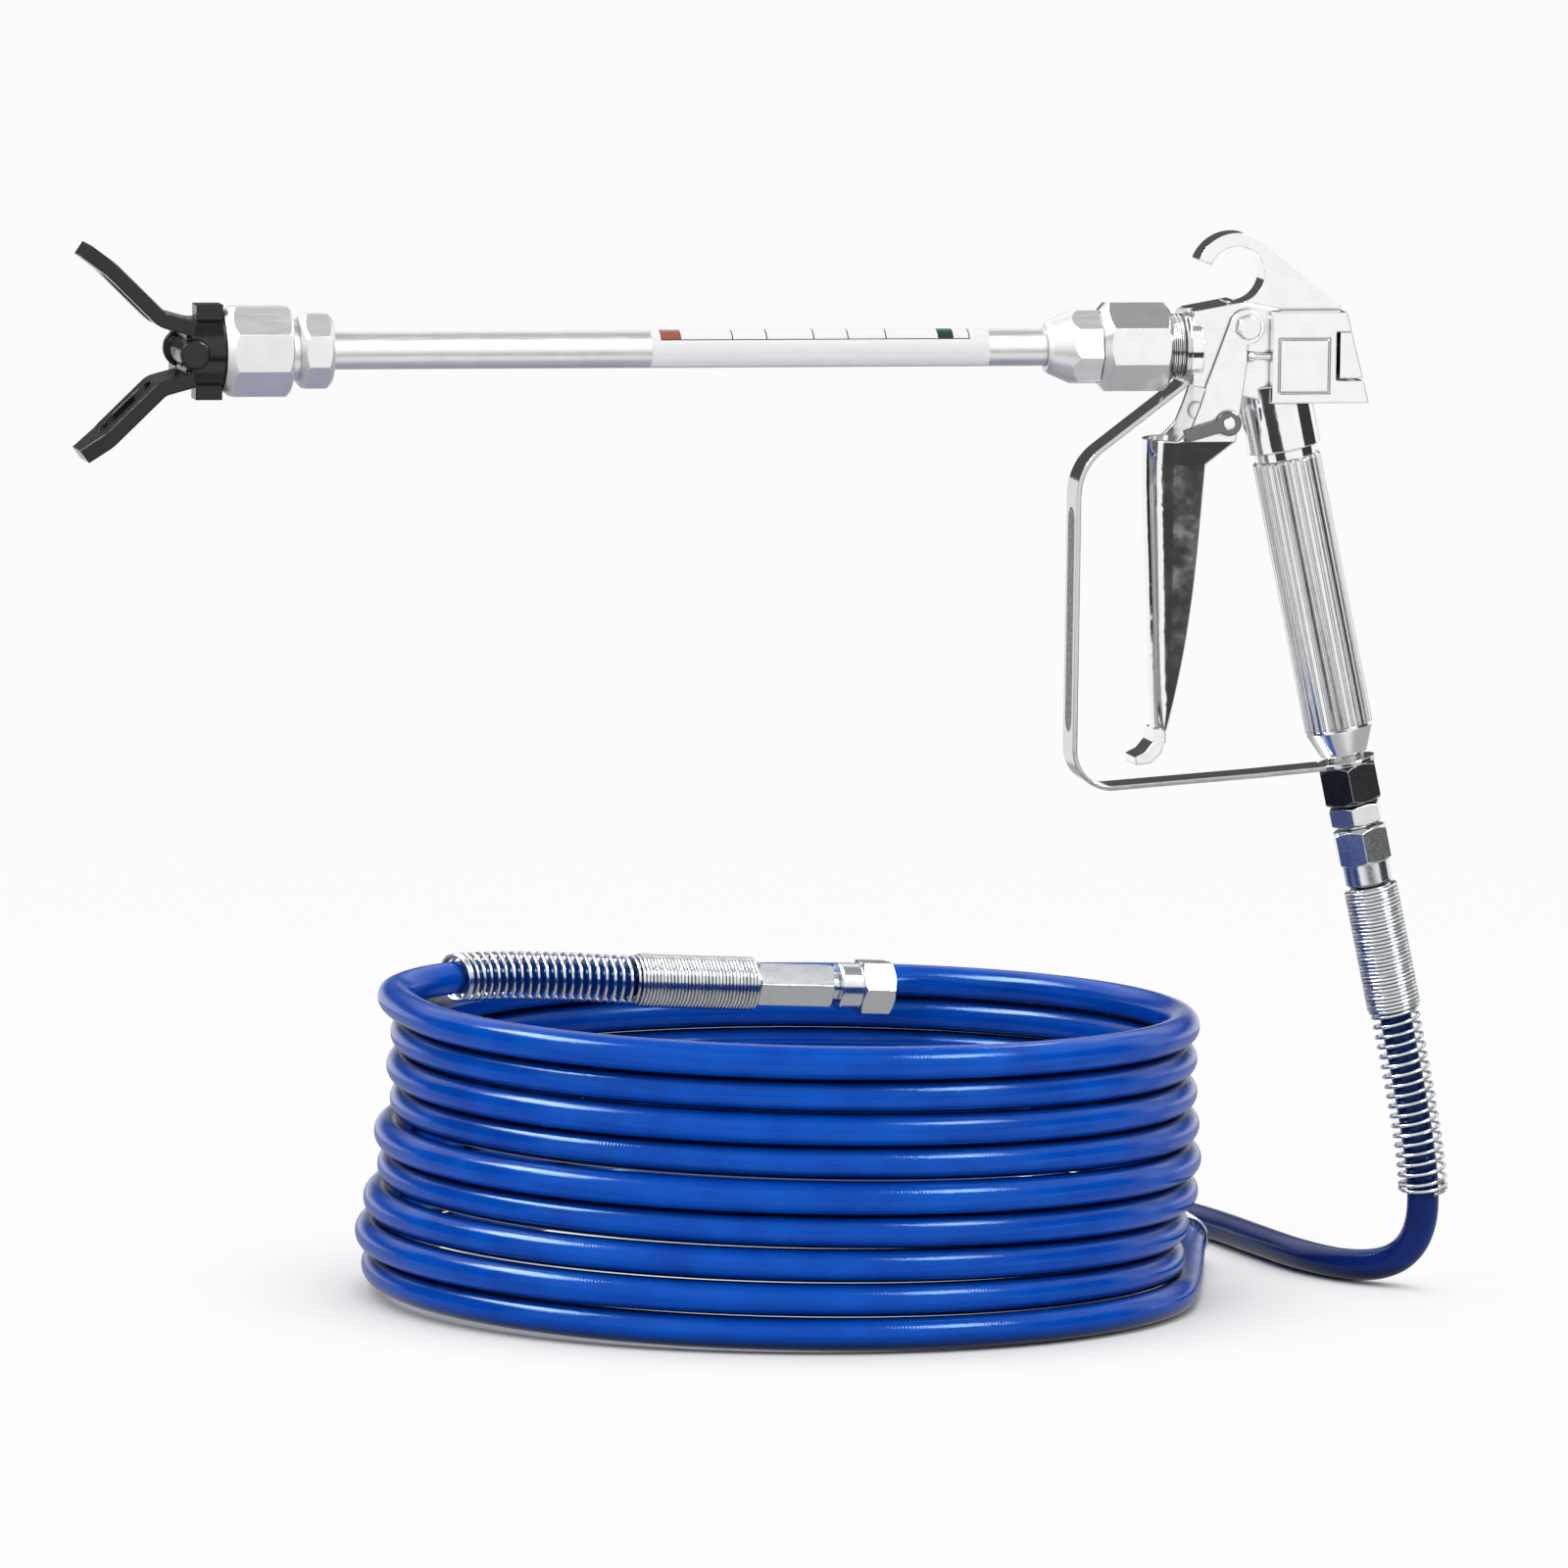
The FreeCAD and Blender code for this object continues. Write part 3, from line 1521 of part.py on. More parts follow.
def wing_solid(side):
    """One wing: a bent strip, wide in Y, with a slot through it and its tip drawn in."""
    front = -float(size.body_front)
    axis = float(size.spray_height)

    def at(station, height):
        return front - float(station), axis + side * float(height)

    points = [
        at(size.wing_root, size.wing_root_height),
        at(size.wing_knee, size.wing_knee_height),
        at(size.wing_shoulder, size.wing_shoulder_height),
        at(size.wing_tip, size.wing_tip_height),
    ]
    width = float(size.wing_width)
    wing = strip(points, [6.0, 5.0], float(size.wing_thick)).extrude(FreeCAD.Vector(0, width, 0))
    wing.translate(FreeCAD.Vector(0, -width / 2, 0))
    low, high = axis - 60, 120.0
    slot_half = float(size.wing_slot_width) / 2
    slot_front = front - float(size.wing_slot_end)
    slot_rear = front - float(size.wing_slot_start)
    slot = rounded_slot(slot_front, slot_rear, slot_half, low, high)
    corner_cuts = []
    tip_x = front - float(size.wing_tip) - 6
    shoulder_x = front - float(size.wing_shoulder)
    tip_half = float(size.wing_tip_width) / 2
    for way in (-1, 1):
        corners = [
            FreeCAD.Vector(shoulder_x, way * width / 2, low),
            FreeCAD.Vector(tip_x + 4, way * tip_half, low),
            FreeCAD.Vector(tip_x, way * tip_half, low),
            FreeCAD.Vector(tip_x, way * width, low),
            FreeCAD.Vector(shoulder_x, way * width, low),
        ]
        face = Part.Face(Part.makePolygon(corners + corners[:1]))
        corner_cuts.append(face.extrude(FreeCAD.Vector(0, 0, high)))
    return wing.cut([slot, *corner_cuts])


def rounded_slot(x_low, x_high, half, low, high):
    """A slot along X with round ends, cut through in Z."""
    middle = Part.makeBox(
        x_high - x_low - 2 * half, 2 * half, high, FreeCAD.Vector(x_low + half, -half, low)
    )
    ends = [Part.makeCylinder(half, high, FreeCAD.Vector(x, 0, low)) for x in (x_low + half, x_high - half)]
    return middle.fuse(ends)


def make_spray_tip():
    """The reversible tip: a barrel across the housing, a flag handle on the far side and an orifice."""

    def across(thing):
        """Local Z runs to the far side, on the barrel's axis; local X points forward."""
        base = FreeCAD.Vector(-size.body_front - size.tip_station, 0, size.spray_height)
        thing.Placement = FreeCAD.Placement(base, SIDEWAYS)
        bind(thing, "Placement.Base.x", -size.body_front - size.tip_station)
        bind(thing, "Placement.Base.z", size.spray_height)

    head = size.tip_half + size.free_gap
    tip = turned(
        "spray_tip",
        across,
        [
            (0, -size.tip_half),
            (size.tip_radius - 0.6, -size.tip_half),
            (size.tip_radius, 0.6 - size.tip_half),
            (size.tip_radius, head),
            (size.tip_radius + 1.5, head),
            (size.tip_radius + 1.5, head + 2),
            (0, head + 2),
        ],
    )
    sketch = sketch_on(tip, LEVEL_PLANE, head + 1)
    thick = size.handle_thick / 2
    tall = size.handle_height / 2
    outline(sketch, [(-thick, -tall), (thick, -tall), (thick, tall), (-thick, tall)])
    pad(tip, sketch, size.handle_length)
    sketch = sketch_on(tip, FORWARD_PLANE)
    circle(sketch, 0, 0, size.tip_orifice)
    pocket(tip, sketch, 3 * size.tip_radius, symmetric=True)


# Hose ends. Each piece is made on its own line, then moved to its place on the hose.


def hose_nut(label, place):
    """The swivel nut: a threaded hexagon, and a round collar behind it that is staked to the stem."""
    corner = across_corners(size.hose_nut_flats, 6)
    hexagon = size.hose_nut_hex - size.hose_nut_reach
    end = size.hose_nut_length - size.hose_nut_reach
    nut = turned(
        label,
        place,
        [
            (size.thread_radius, -size.hose_nut_reach),
            (size.hose_nut_flats / 2 - 0.3, -size.hose_nut_reach),
            (corner, 1 - size.hose_nut_reach),
            (corner, hexagon - 1),
            (size.hose_nut_flats / 2 - 0.5, hexagon),
            (size.hose_nut_collar, hexagon),
            (size.hose_nut_collar, end - 0.7),
            (size.hose_nut_collar - 0.7, end),
            (size.stem_neck + size.slip, end),
            (size.stem_neck + size.slip, size.hose_nut_lip),
            (size.nut_relief_radius, size.hose_nut_lip),
            (size.nut_relief_radius, -size.nut_relief_length),
            (size.thread_radius, -size.nut_relief_length),
        ],
    )
    mill_flats(nut, 6, size.hose_nut_flats, -size.hose_nut_reach, hexagon, 8)
    return nut


def hose_stem(label, place, ferrule_start):
    """The stem: a flange inside the nut, a neck through its collar and a barb inside the hose's end."""
    barb_end = ferrule_start + size.ferrule_floor
    turned(
        label,
        place,
        [
            (size.stem_bore, 0),
            (size.stem_flange, 0),
            (size.stem_flange, size.stem_flange_thick),
            (size.stem_neck, size.stem_flange_thick),
            (size.stem_neck, ferrule_start),
            (size.stem_barb, ferrule_start),
            (size.stem_barb, barb_end),
            (size.stem_bore, barb_end),
        ],
    )


def hose_ferrule(label, place, start, length, hexagon=False):
    """The crimped sleeve on the hose's end; the pump end's one has a long hexagon ahead of its spring."""
    outer = across_corners(size.long_ferrule_flats, 6) if hexagon else size.ferrule_radius
    profile = [
        (size.stem_barb + size.slip, start),
        (outer - 0.6, start),
        (outer, start + 0.6),
    ]
    hex_end = start + size.long_ferrule_hex
    if hexagon:
        profile += [(outer, hex_end), (size.ferrule_radius, hex_end)]
    profile += [
        (size.ferrule_radius, start + length),
        (size.hose_radius + size.slip, start + length),
        (size.hose_radius + size.slip, start + size.ferrule_floor),
        (size.stem_barb + size.slip, start + size.ferrule_floor),
    ]
    ferrule = turned(label, place, profile)
    if hexagon:
        mill_flats(ferrule, 6, size.long_ferrule_flats, start, hex_end, 14)


# Hose routes. A route is a list of points; its corners are rounded as far as its runs allow.


def rounded(points):
    """The route's path: straight runs and tangent arcs, as (kind, data) pieces, and its radii."""
    pieces = []
    radii = []
    last = points[0]
    for before, corner, after in zip(points, points[1:], points[2:]):
        into = corner - before
        out = after - corner
        shorter = min(into.Length, out.Length)
        into.normalize()
        out.normalize()
        turn = math.acos(max(-1.0, min(1.0, into.dot(out))))
        trim = 0.45 * shorter
        radius = trim / math.tan(turn / 2)
        start = corner - into * trim
        end = corner + out * trim
        bisector = (out - into).normalize()
        middle = corner + bisector * (radius / math.cos(turn / 2) - radius)
        pieces.append(Part.makeLine(last, start))
        pieces.append(Part.Arc(start, middle, end).toShape())
        radii.append(radius)
        last = end
    pieces.append(Part.makeLine(last, points[-1]))
    return pieces, radii


def hose_tube(label, points):
    """The hose along a route, as a solid; prints its length, its radii and its volume's error."""
    pieces, radii = rounded(points)
    path = Part.Wire(pieces)
    start = path.Edges[0].Vertexes[0].Point
    heading = points[1] - points[0]
    ring = Part.Wire(Part.makeCircle(float(size.hose_radius), points[0], heading))
    tube = path.makePipeShell([ring], True, False)
    section = math.pi * float(size.hose_radius) ** 2
    error = tube.Volume / (section * path.Length) - 1
    print(f"{label}: {path.Length:.1f} mm long from {start.x:.0f},{start.y:.0f},{start.z:.0f};", end=" ")
    print("radii", ", ".join(f"{radius:.0f}" for radius in radii), "mm;", end=" ")
    print(f"volume {error:+.4%} from section x length")
    add_shape(label, tube)
    return path


def biarc(start, start_way, end, end_way):
    """Two tangent arcs from one point and direction to another."""
    chord = end - start
    both = start_way + end_way
    spread = 2 * (1 - start_way.dot(end_way))
    along = chord.dot(both)
    reach = (-along + math.sqrt(along * along + spread * chord.dot(chord))) / spread
    first = start + start_way * reach
    second = end - end_way * reach
    joint = (first + second) * 0.5
    return [arc_by_corner(start, first, joint), arc_by_corner(joint, second, end)]


def arc_by_corner(start, corner, end):
    """The arc that is tangent to both legs of a corner with equal legs."""
    middle = (start + end) * 0.5
    share = (end - start).Length / 2 / (corner - start).Length
    share = min(share, 0.999999999)
    return Part.Arc(start, middle + (corner - middle) * (share / (1 + share)), end).toShape()


def wound_tube(label, points, ways, radius):
    """A tube wound through points with given directions; each end runs straight for one diameter."""
    edges = [Part.makeLine(points[0] - ways[0] * (2 * radius), points[0])]
    for index in range(len(points) - 1):
        edges += biarc(points[index], ways[index], points[index + 1], ways[index + 1])
    edges.append(Part.makeLine(points[-1], points[-1] + ways[-1] * (2 * radius)))
    path = Part.Wire(edges)
    ring = Part.Wire(Part.makeCircle(radius, path.Edges[0].Vertexes[0].Point, ways[0]))
    tube = path.makePipeShell([ring], True, False)
    print(f"{label}: {path.Length:.0f} mm of tube, least gap to itself {self_gap(path, radius):.2f} mm")
    add_shape(label, tube)
    return path


def self_gap(path, radius):
    """The least gap of a wound tube to its neighbouring turns, on points along its middle line."""
    count = int(path.Length / (1.2 * radius))
    points = path.discretize(Number=count)
    step = path.Length / (count - 1)
    skip = int(math.pi * radius * 3 / step)
    cells = {}
    width = 4 * radius
    for index, point in enumerate(points):
        cells.setdefault((point.x // width, point.y // width, point.z // width), []).append(index)
    least = 1e9
    for (i, j, k), members in cells.items():
        near = []
        for shift in range(27):
            key = (i + shift % 3 - 1, j + shift // 3 % 3 - 1, k + shift // 9 - 1)
            near += cells.get(key, [])
        for one in members:
            for other in near:
                if other - one > skip:
                    least = min(least, (points[one] - points[other]).Length)
    return least - 2 * radius


def point_and_way(path, distance):
    """The point of a path at a distance from its start, and its direction there."""
    for edge in path.OrderedEdges:
        if distance <= edge.Length:
            break
        distance -= edge.Length
    parameter = edge.getParameterByLength(min(distance, edge.Length))
    return edge.valueAt(parameter), edge.tangentAt(parameter)


def spring_guard(label, path, start, tight_turns, open_turns, open_length, side):
    """A spring round a hose: a tight part next to the fitting, then an open one of smaller radius."""
    wire = float(size.wire_radius)
    tight = float(size.tight_length)
    loose = float(open_length)
    tight_radius = float(size.tight_radius) - wire
    open_radius = float(size.open_radius) - wire
    turns = tight_turns + open_turns

    def along(turn):
        if turn <= tight_turns:
            return tight * turn / tight_turns
        return tight + loose * (turn - tight_turns) / open_turns

    def radius(turn):
        blend = min(max((turn - tight_turns + 0.5), 0.0), 1.0)
        return tight_radius + (open_radius - tight_radius) * blend

    def at(turn):
        point, way = point_and_way(path, start + along(turn))
        first = side.cross(way).normalize()
        second = way.cross(first).normalize()
        angle = 2 * math.pi * turn
        return point + (first * math.cos(angle) + second * math.sin(angle)) * radius(turn)

    halves = int(2 * turns)
    points = []
    ways = []
    for index in range(halves + 1):
        turn = index / 2
        points.append(at(turn))
        low, high = max(turn - 0.01, 0), min(turn + 0.01, turns)
        ways.append((at(high) - at(low)).normalize())
    wound_tube(label, points, ways, wire)


# The hose set

# In the lists of points, the third number is the height above the middle of a hose that lies on the floor.

# Points of the leader hose between its two fittings, from the gun down to the floor, back behind the
# coil, round, and forward to the joint with the main hose.
LEADER_POINTS = [
    (39.4, -0.2, 53.8),
    (43.3, 0.3, 27.3),
    (42.6, 6.0, 12.3),
    (36.5, 14.5, 2.8),
    (24.5, 24.5, 0.0),
    (13.5, 50.0, 0.0),
    (7.0, 89.0, 0.0),
    (0.5, 132.0, 0.0),
    (-12.0, 177.0, 0.0),
    (-28.0, 221.0, 0.0),
    (-45.0, 264.0, 0.0),
    (-60.0, 305.0, 0.0),
    (-69.4, 346.1, 0.0),
    (-88.9, 377.2, 0.0),
    (-121.8, 393.3, 0.0),
    (-158.3, 389.4, 0.0),
    (-187.3, 366.8, 0.0),
    (-199.8, 332.3, 0.0),
    (-192.2, 296.4, 1.1),
    (-171.1, 274.5, 3.4),
]
# Points of the main hose below the coil, from the joint back to the coil's lower end, about the coil's
# middle.
LOWER_POINTS = [
    (148.0, 93.5, 4.6),
    (153.5, 53.0, 3.4),
    (147.3, 27.6, 2.0),
]
# Points of the main hose above the coil, from the pump fitting back to the coil's upper end, about the
# coil's middle.
UPPER_POINTS = [
    (27.1, 86.0, 89.0),
    (-34.13, 76.85, 92.3),
    (-62.0, 72.7, 94.9),
    (-93.6, 68.1, 96.2),
    (-110.6, 59.6, 96.1),
    (-124.2, 46.4, 95.4),
    (-133.0, 29.6, 94.5),
]


def lifted(points):
    """Points whose third number is a height above a resting hose's middle, in the gun's frame."""
    rest = float(size.floor_height + size.hose_radius)
    return [FreeCAD.Vector(x, y, rest + lift) for x, y, lift in points]


def about_coil(points):
    """The same, for points that are given about the coil's middle."""
    middle = FreeCAD.Vector(-size.coil_ahead, size.coil_behind, 0)
    return [point + middle for point in lifted(points)]


def eased(values, at):
    """The value between a list's entries, on a smooth curve through them."""
    index = min(max(int(at), 0), len(values) - 2)
    share = at - index
    here, there = values[index], values[index + 1]
    out_slope = (there - values[max(index - 1, 0)]) / 2
    in_slope = (values[min(index + 2, len(values) - 1)] - here) / 2
    rise = share * share * (3 - 2 * share)
    bend = share * (1 - share)
    return here + (there - here) * rise + out_slope * bend * (1 - share) - in_slope * bend * share


def coil_height(left):
    """The height of the coil's middle line, by the turns left to its lower end."""
    linear_from = len(LAST_TURN_HEIGHTS) - 2
    if 4 * left < linear_from:
        return eased(LAST_TURN_HEIGHTS, 4 * left)
    return LAST_TURN_HEIGHTS[linear_from] + (left - linear_from / 4) * float(size.coil_pitch)


def coil_point(turn, turns):
    """A point of the coil's middle line, by the turns wound since its upper end."""
    angle = math.radians(float(size.coil_start_angle) + 360 * turn)
    radius = eased(HALF_TURN_RADII, 2 * turn)
    return about_coil([(radius * math.cos(angle), radius * math.sin(angle), coil_height(turns - turn))])[0]


def make_coil():
    """The wound part of the main hose; returns its two ends, each as a point and a direction of travel."""
    turns = float(size.coil_end_angle - size.coil_start_angle) / 360
    count = int(size.coil_pieces)
    points = []
    ways = []
    for index in range(count + 1):
        turn = turns * index / count
        low, high = max(turn - 0.002, 0), min(turn + 0.002, turns)
        points.append(coil_point(turn, turns))
        ways.append((coil_point(high, turns) - coil_point(low, turns)).normalize())
    radius = float(size.hose_radius)
    wound_tube("hose_coil", points, ways, radius)
    upper = points[0] - ways[0] * (2 * radius)
    lower = points[-1] + ways[-1] * (2 * radius)
    return (upper, ways[0]), (lower, ways[-1])


def hose_end_place(face, way):
    """The place of a hose end: local Z runs from its sealing face along way, towards the hose."""
    turn = FreeCAD.Rotation(FreeCAD.Vector(0, 0, 1), way)

    def place(thing):
        thing.Placement = FreeCAD.Placement(FreeCAD.Vector(*[float(value) for value in face]), turn)
        for axis, value in zip("xyz", face):
            bind(thing, f"Placement.Base.{axis}", value)

    return place


def hose_end(name, face, way):
    """A swivel nut, a stem and a plain ferrule on one line."""
    place = hose_end_place(face, way)
    hose_nut(f"{name}_nut", place)
    hose_stem(f"{name}_stem", place, size.ferrule_start)
    hose_ferrule(f"{name}_ferrule", place, size.ferrule_start, size.ferrule_length)


def vector(values):
    return FreeCAD.Vector(*[float(value) for value in values])


def straight_run(face, way, run):
    """The start of a hose inside its ferrule, and its first corner, both on the fitting's line."""
    start = vector(face) + way * float(size.ferrule_start + size.ferrule_floor)
    return [start, start + way * float(run)]


def spring_path(face, route):
    """The line from a sealing face to the hose's start, and on along the hose."""
    return Part.Wire([Part.makeLine(face, route[0])] + rounded(route)[0])


def make_hose_set():
    upright = FreeCAD.Vector(0, 0, 1)
    sideways = FreeCAD.Vector(0, 1, 0)
    gun_face = (
        ADAPTER_FOOT * sine(size.grip_lean),
        0.0,
        -ADAPTER_FOOT * cosine(size.grip_lean),
    )
    down = grip_point(1.0)
    hose_end("leader_gun", gun_face, down)

    along = (cosine(size.join_heading), sine(size.join_heading))
    join_height = size.floor_height + size.hose_radius + size.join_lift
    main_face = (size.join_right - size.coil_ahead, size.join_back + size.coil_behind, join_height)
    nipple = 2 * size.hose_nut_reach + size.nipple_hex
    leader_face = (main_face[0] + nipple * along[0], main_face[1] + nipple * along[1], join_height)
    forward = FreeCAD.Vector(float(along[0]), float(along[1]), 0)
    hose_end("leader_join", leader_face, forward)
    hose_end("main_join", main_face, -forward)
    make_nipple(main_face, forward, nipple)

    leader = straight_run(gun_face, down, size.gun_end_run) + lifted(LEADER_POINTS)
    leader += straight_run(leader_face, forward, size.leader_join_run)[::-1]
    hose_tube("leader_hose", leader)

    (upper_end, upper_way), (lower_end, lower_way) = make_coil()
    lower = straight_run(main_face, -forward, size.main_join_run) + about_coil(LOWER_POINTS)
    lower += [lower_end + lower_way * float(size.lower_lead), lower_end]
    hose_tube("main_hose_lower", lower)
    upper = about_coil(UPPER_POINTS) + [upper_end - upper_way * float(size.upper_lead), upper_end]
    hose_tube("main_hose_upper", upper)

    pump_way = (upper[1] - upper[0]).normalize()
    pump_start = size.long_ferrule_start + size.ferrule_floor
    pump_face = upper[0] - pump_way * float(pump_start)
    place = hose_end_place(pump_face, pump_way)
    hose_nut("pump_nut", place)
    hose_stem("pump_stem", place, size.long_ferrule_start)
    tail = size.long_ferrule_hex + size.pump_ferrule_tail
    hose_ferrule("pump_ferrule", place, size.long_ferrule_start, tail, hexagon=True)

    start = float(size.spring_start)
    wire = float(size.wire_radius)
    loose = size.open_length
    spring_guard("leader_gun_spring", spring_path(vector(gun_face), leader), start, 20, 14, loose, sideways)
    back = spring_path(vector(leader_face), leader[::-1])
    spring_guard("leader_join_spring", back, start, 7, 9, loose, upright)
    spring_guard("main_join_spring", spring_path(vector(main_face), lower), start, 7, 9, loose, upright)
    start = float(size.long_ferrule_start + size.long_ferrule_hex) + wire
    loose = size.pump_open_length
    spring_guard("pump_spring", spring_path(pump_face, upper), start, 20, 14, loose, upright)
    print("hose ends, as sealing face and direction:")
    for name, point, way in (
        ("leader gun end", vector(gun_face), down),
        ("leader joint end", vector(leader_face), forward),
        ("main joint end", vector(main_face), -forward),
        ("pump end", pump_face, pump_way),
    ):
        print(f"  {name}: {point.x:.2f} {point.y:.2f} {point.z:.2f}; {way.x:.5f} {way.y:.5f} {way.z:.5f}")


def make_nipple(face, way, length):
    """The nipple between the two hoses: threads in both nuts, and a hexagon between the nuts."""
    corner = across_corners(size.nipple_flats, 6)
    thread = size.thread_radius - size.slip
    low = size.hose_nut_reach + size.slip * 5
    high = length - low
    nipple = turned(
        "joining_nipple",
        hose_end_place(face, way),
        [
            (size.stem_bore, 0),
            (thread - 0.8, 0),
            (thread, 0.8),
            (thread, low),
            (corner, low),
            (corner, high),
            (thread, high),
            (thread, length - 0.8),
            (thread - 0.8, length),
            (size.stem_bore, length),
        ],
    )
    mill_flats(nipple, 6, size.nipple_flats, low, high, 16)


NODES = [
    "gun_body",
    "outlet_fitting",
    "valve_seat",
    "needle",
    "needle_packing",
    "actuator_pins",
    "actuator_plate",
    "needle_nut",
    "return_spring",
    "end_cap",
    "trigger",
    "pivot_screw",
    "pivot_nut",
    "lock_lever",
    "lock_pin",
    "trigger_guard",
    "grip_core",
    "grip_sleeve",
    "grip_filter",
    "guard_lock_nut",
    "swivel_adapter",
    "pole_nut",
    "pole_rear_fitting",
    "pole_seal",
    "pole_tube",
    "pole_label",
    "pole_front_fitting",
    "guard_nut",
    "tip_guard",
    "spray_tip",
    "tip_seat",
    "seat_gasket",
    "leader_hose",
    "leader_gun_nut",
    "leader_gun_stem",
    "leader_gun_ferrule",
    "leader_gun_spring",
    "leader_join_nut",
    "leader_join_stem",
    "leader_join_ferrule",
    "leader_join_spring",
    "joining_nipple",
    "main_join_nut",
    "main_join_stem",
    "main_join_ferrule",
    "main_join_spring",
    "main_hose_lower",
    "hose_coil",
    "main_hose_upper",
    "pump_nut",
    "pump_stem",
    "pump_ferrule",
    "pump_spring",
]


def make_everything():
    make_gun_body()
    make_outlet_fitting()
    make_valve()
    make_actuator()
    make_end_cap()
    make_trigger()
    make_pivot()
    make_lock()
    make_trigger_guard()
    make_grip()
    make_pole()
    make_guard_nut()
    make_seat()
    make_tip_guard()
    make_spray_tip()
    make_hose_set()


def check_and_write():
    """Stops on any failed feature or shape, then writes one file for each sub-part."""
    doc.recompute()
    for thing in doc.Objects:
        if "Invalid" in thing.State or "Error" in thing.State:
            raise RuntimeError(f"{thing.Name} did not compute: {thing.State}")
    os.makedirs("parts", exist_ok=True)
    for node in NODES:
        shape = doc.getObjectsByLabel(node)[0].Shape
        if shape.isNull() or not shape.isValid() or not shape.Solids:
            raise RuntimeError(f"{node} has no valid shape")
        box = shape.BoundBox
        print(f"{node}: {len(shape.Solids)} solid(s), {shape.Volume:.0f} mm3,", end=" ")
        print(f"X {box.XMin:.1f} to {box.XMax:.1f},", end=" ")
        print(f"Y {box.YMin:.1f} to {box.YMax:.1f}, Z {box.ZMin:.1f} to {box.ZMax:.1f}")
        shape.exportStep(f"parts/{node}.step")


make_everything()
check_and_write()
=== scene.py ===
import json
import math

import bpy
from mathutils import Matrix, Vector


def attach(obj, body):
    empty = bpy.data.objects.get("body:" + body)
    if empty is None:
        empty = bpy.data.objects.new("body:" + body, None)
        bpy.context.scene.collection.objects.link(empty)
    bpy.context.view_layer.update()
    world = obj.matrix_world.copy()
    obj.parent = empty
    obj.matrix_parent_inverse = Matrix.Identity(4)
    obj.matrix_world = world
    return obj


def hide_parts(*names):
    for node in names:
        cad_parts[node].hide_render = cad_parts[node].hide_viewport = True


# Airless paint sprayer: a chromed spray gun with an extension pole and tip guard, a navy leader hose and
# a bright blue main hose, coiled on the floor.

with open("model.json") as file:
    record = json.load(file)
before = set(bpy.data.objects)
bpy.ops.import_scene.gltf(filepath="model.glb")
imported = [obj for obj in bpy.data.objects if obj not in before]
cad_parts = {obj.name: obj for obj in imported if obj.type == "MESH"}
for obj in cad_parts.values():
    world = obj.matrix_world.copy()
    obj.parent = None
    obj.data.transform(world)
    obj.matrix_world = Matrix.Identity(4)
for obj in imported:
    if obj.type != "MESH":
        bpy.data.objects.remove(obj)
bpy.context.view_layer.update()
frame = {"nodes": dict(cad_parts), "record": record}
scene = bpy.context.scene
nodes = frame["nodes"]


# Camera: a long lens a little above the gun, seen from ahead of its side.

AIM = Vector((-0.170, 0.060, -0.0708))
DISTANCE = 6.0
AZIMUTH = math.radians(12.0)
ELEVATION = math.radians(6.6)
ROLL = math.radians(0.81)
LENS = 403.1
SENSOR = 36.0
FAR_END = 500.0

forward = Vector(
    (
        math.sin(AZIMUTH) * math.cos(ELEVATION),
        math.cos(AZIMUTH) * math.cos(ELEVATION),
        -math.sin(ELEVATION),
    )
)
camera = bpy.data.objects.new("camera", bpy.data.cameras.new("camera"))
scene.collection.objects.link(camera)
scene.camera = camera
camera.data.lens = LENS
camera.data.sensor_width = SENSOR
camera.data.clip_end = FAR_END
camera.location = AIM - forward * DISTANCE
camera.rotation_mode = "QUATERNION"
turned = forward.to_track_quat("-Z", "Y").to_matrix()
right = turned.col[0] * math.cos(ROLL) + turned.col[1] * math.sin(ROLL)
up = turned.col[1] * math.cos(ROLL) - turned.col[0] * math.sin(ROLL)
turned.col[0], turned.col[1] = right, up
camera.rotation_quaternion = turned.to_quaternion()


# Lines and tubes

TUBE_SHARP = math.radians(40)


def smooth_line(points):
    """The points of the smooth line that has the given ones as its control points."""
    curve = bpy.data.curves.new("route", "CURVE")
    curve.dimensions = "3D"
    curve.resolution_u = 8
    spline = curve.splines.new("NURBS")
    spline.points.add(len(points) - 1)
    for slot, point in zip(spline.points, points):
        slot.co = (*point, 1)
    spline.order_u = 3
    spline.use_endpoint_u = True
    carrier = bpy.data.objects.new("route", curve)
    mesh = bpy.data.meshes.new_from_object(carrier)
    line = [vertex.co.copy() for vertex in mesh.vertices]
    bpy.data.meshes.remove(mesh)
    bpy.data.objects.remove(carrier)
    bpy.data.curves.remove(curve)
    return line


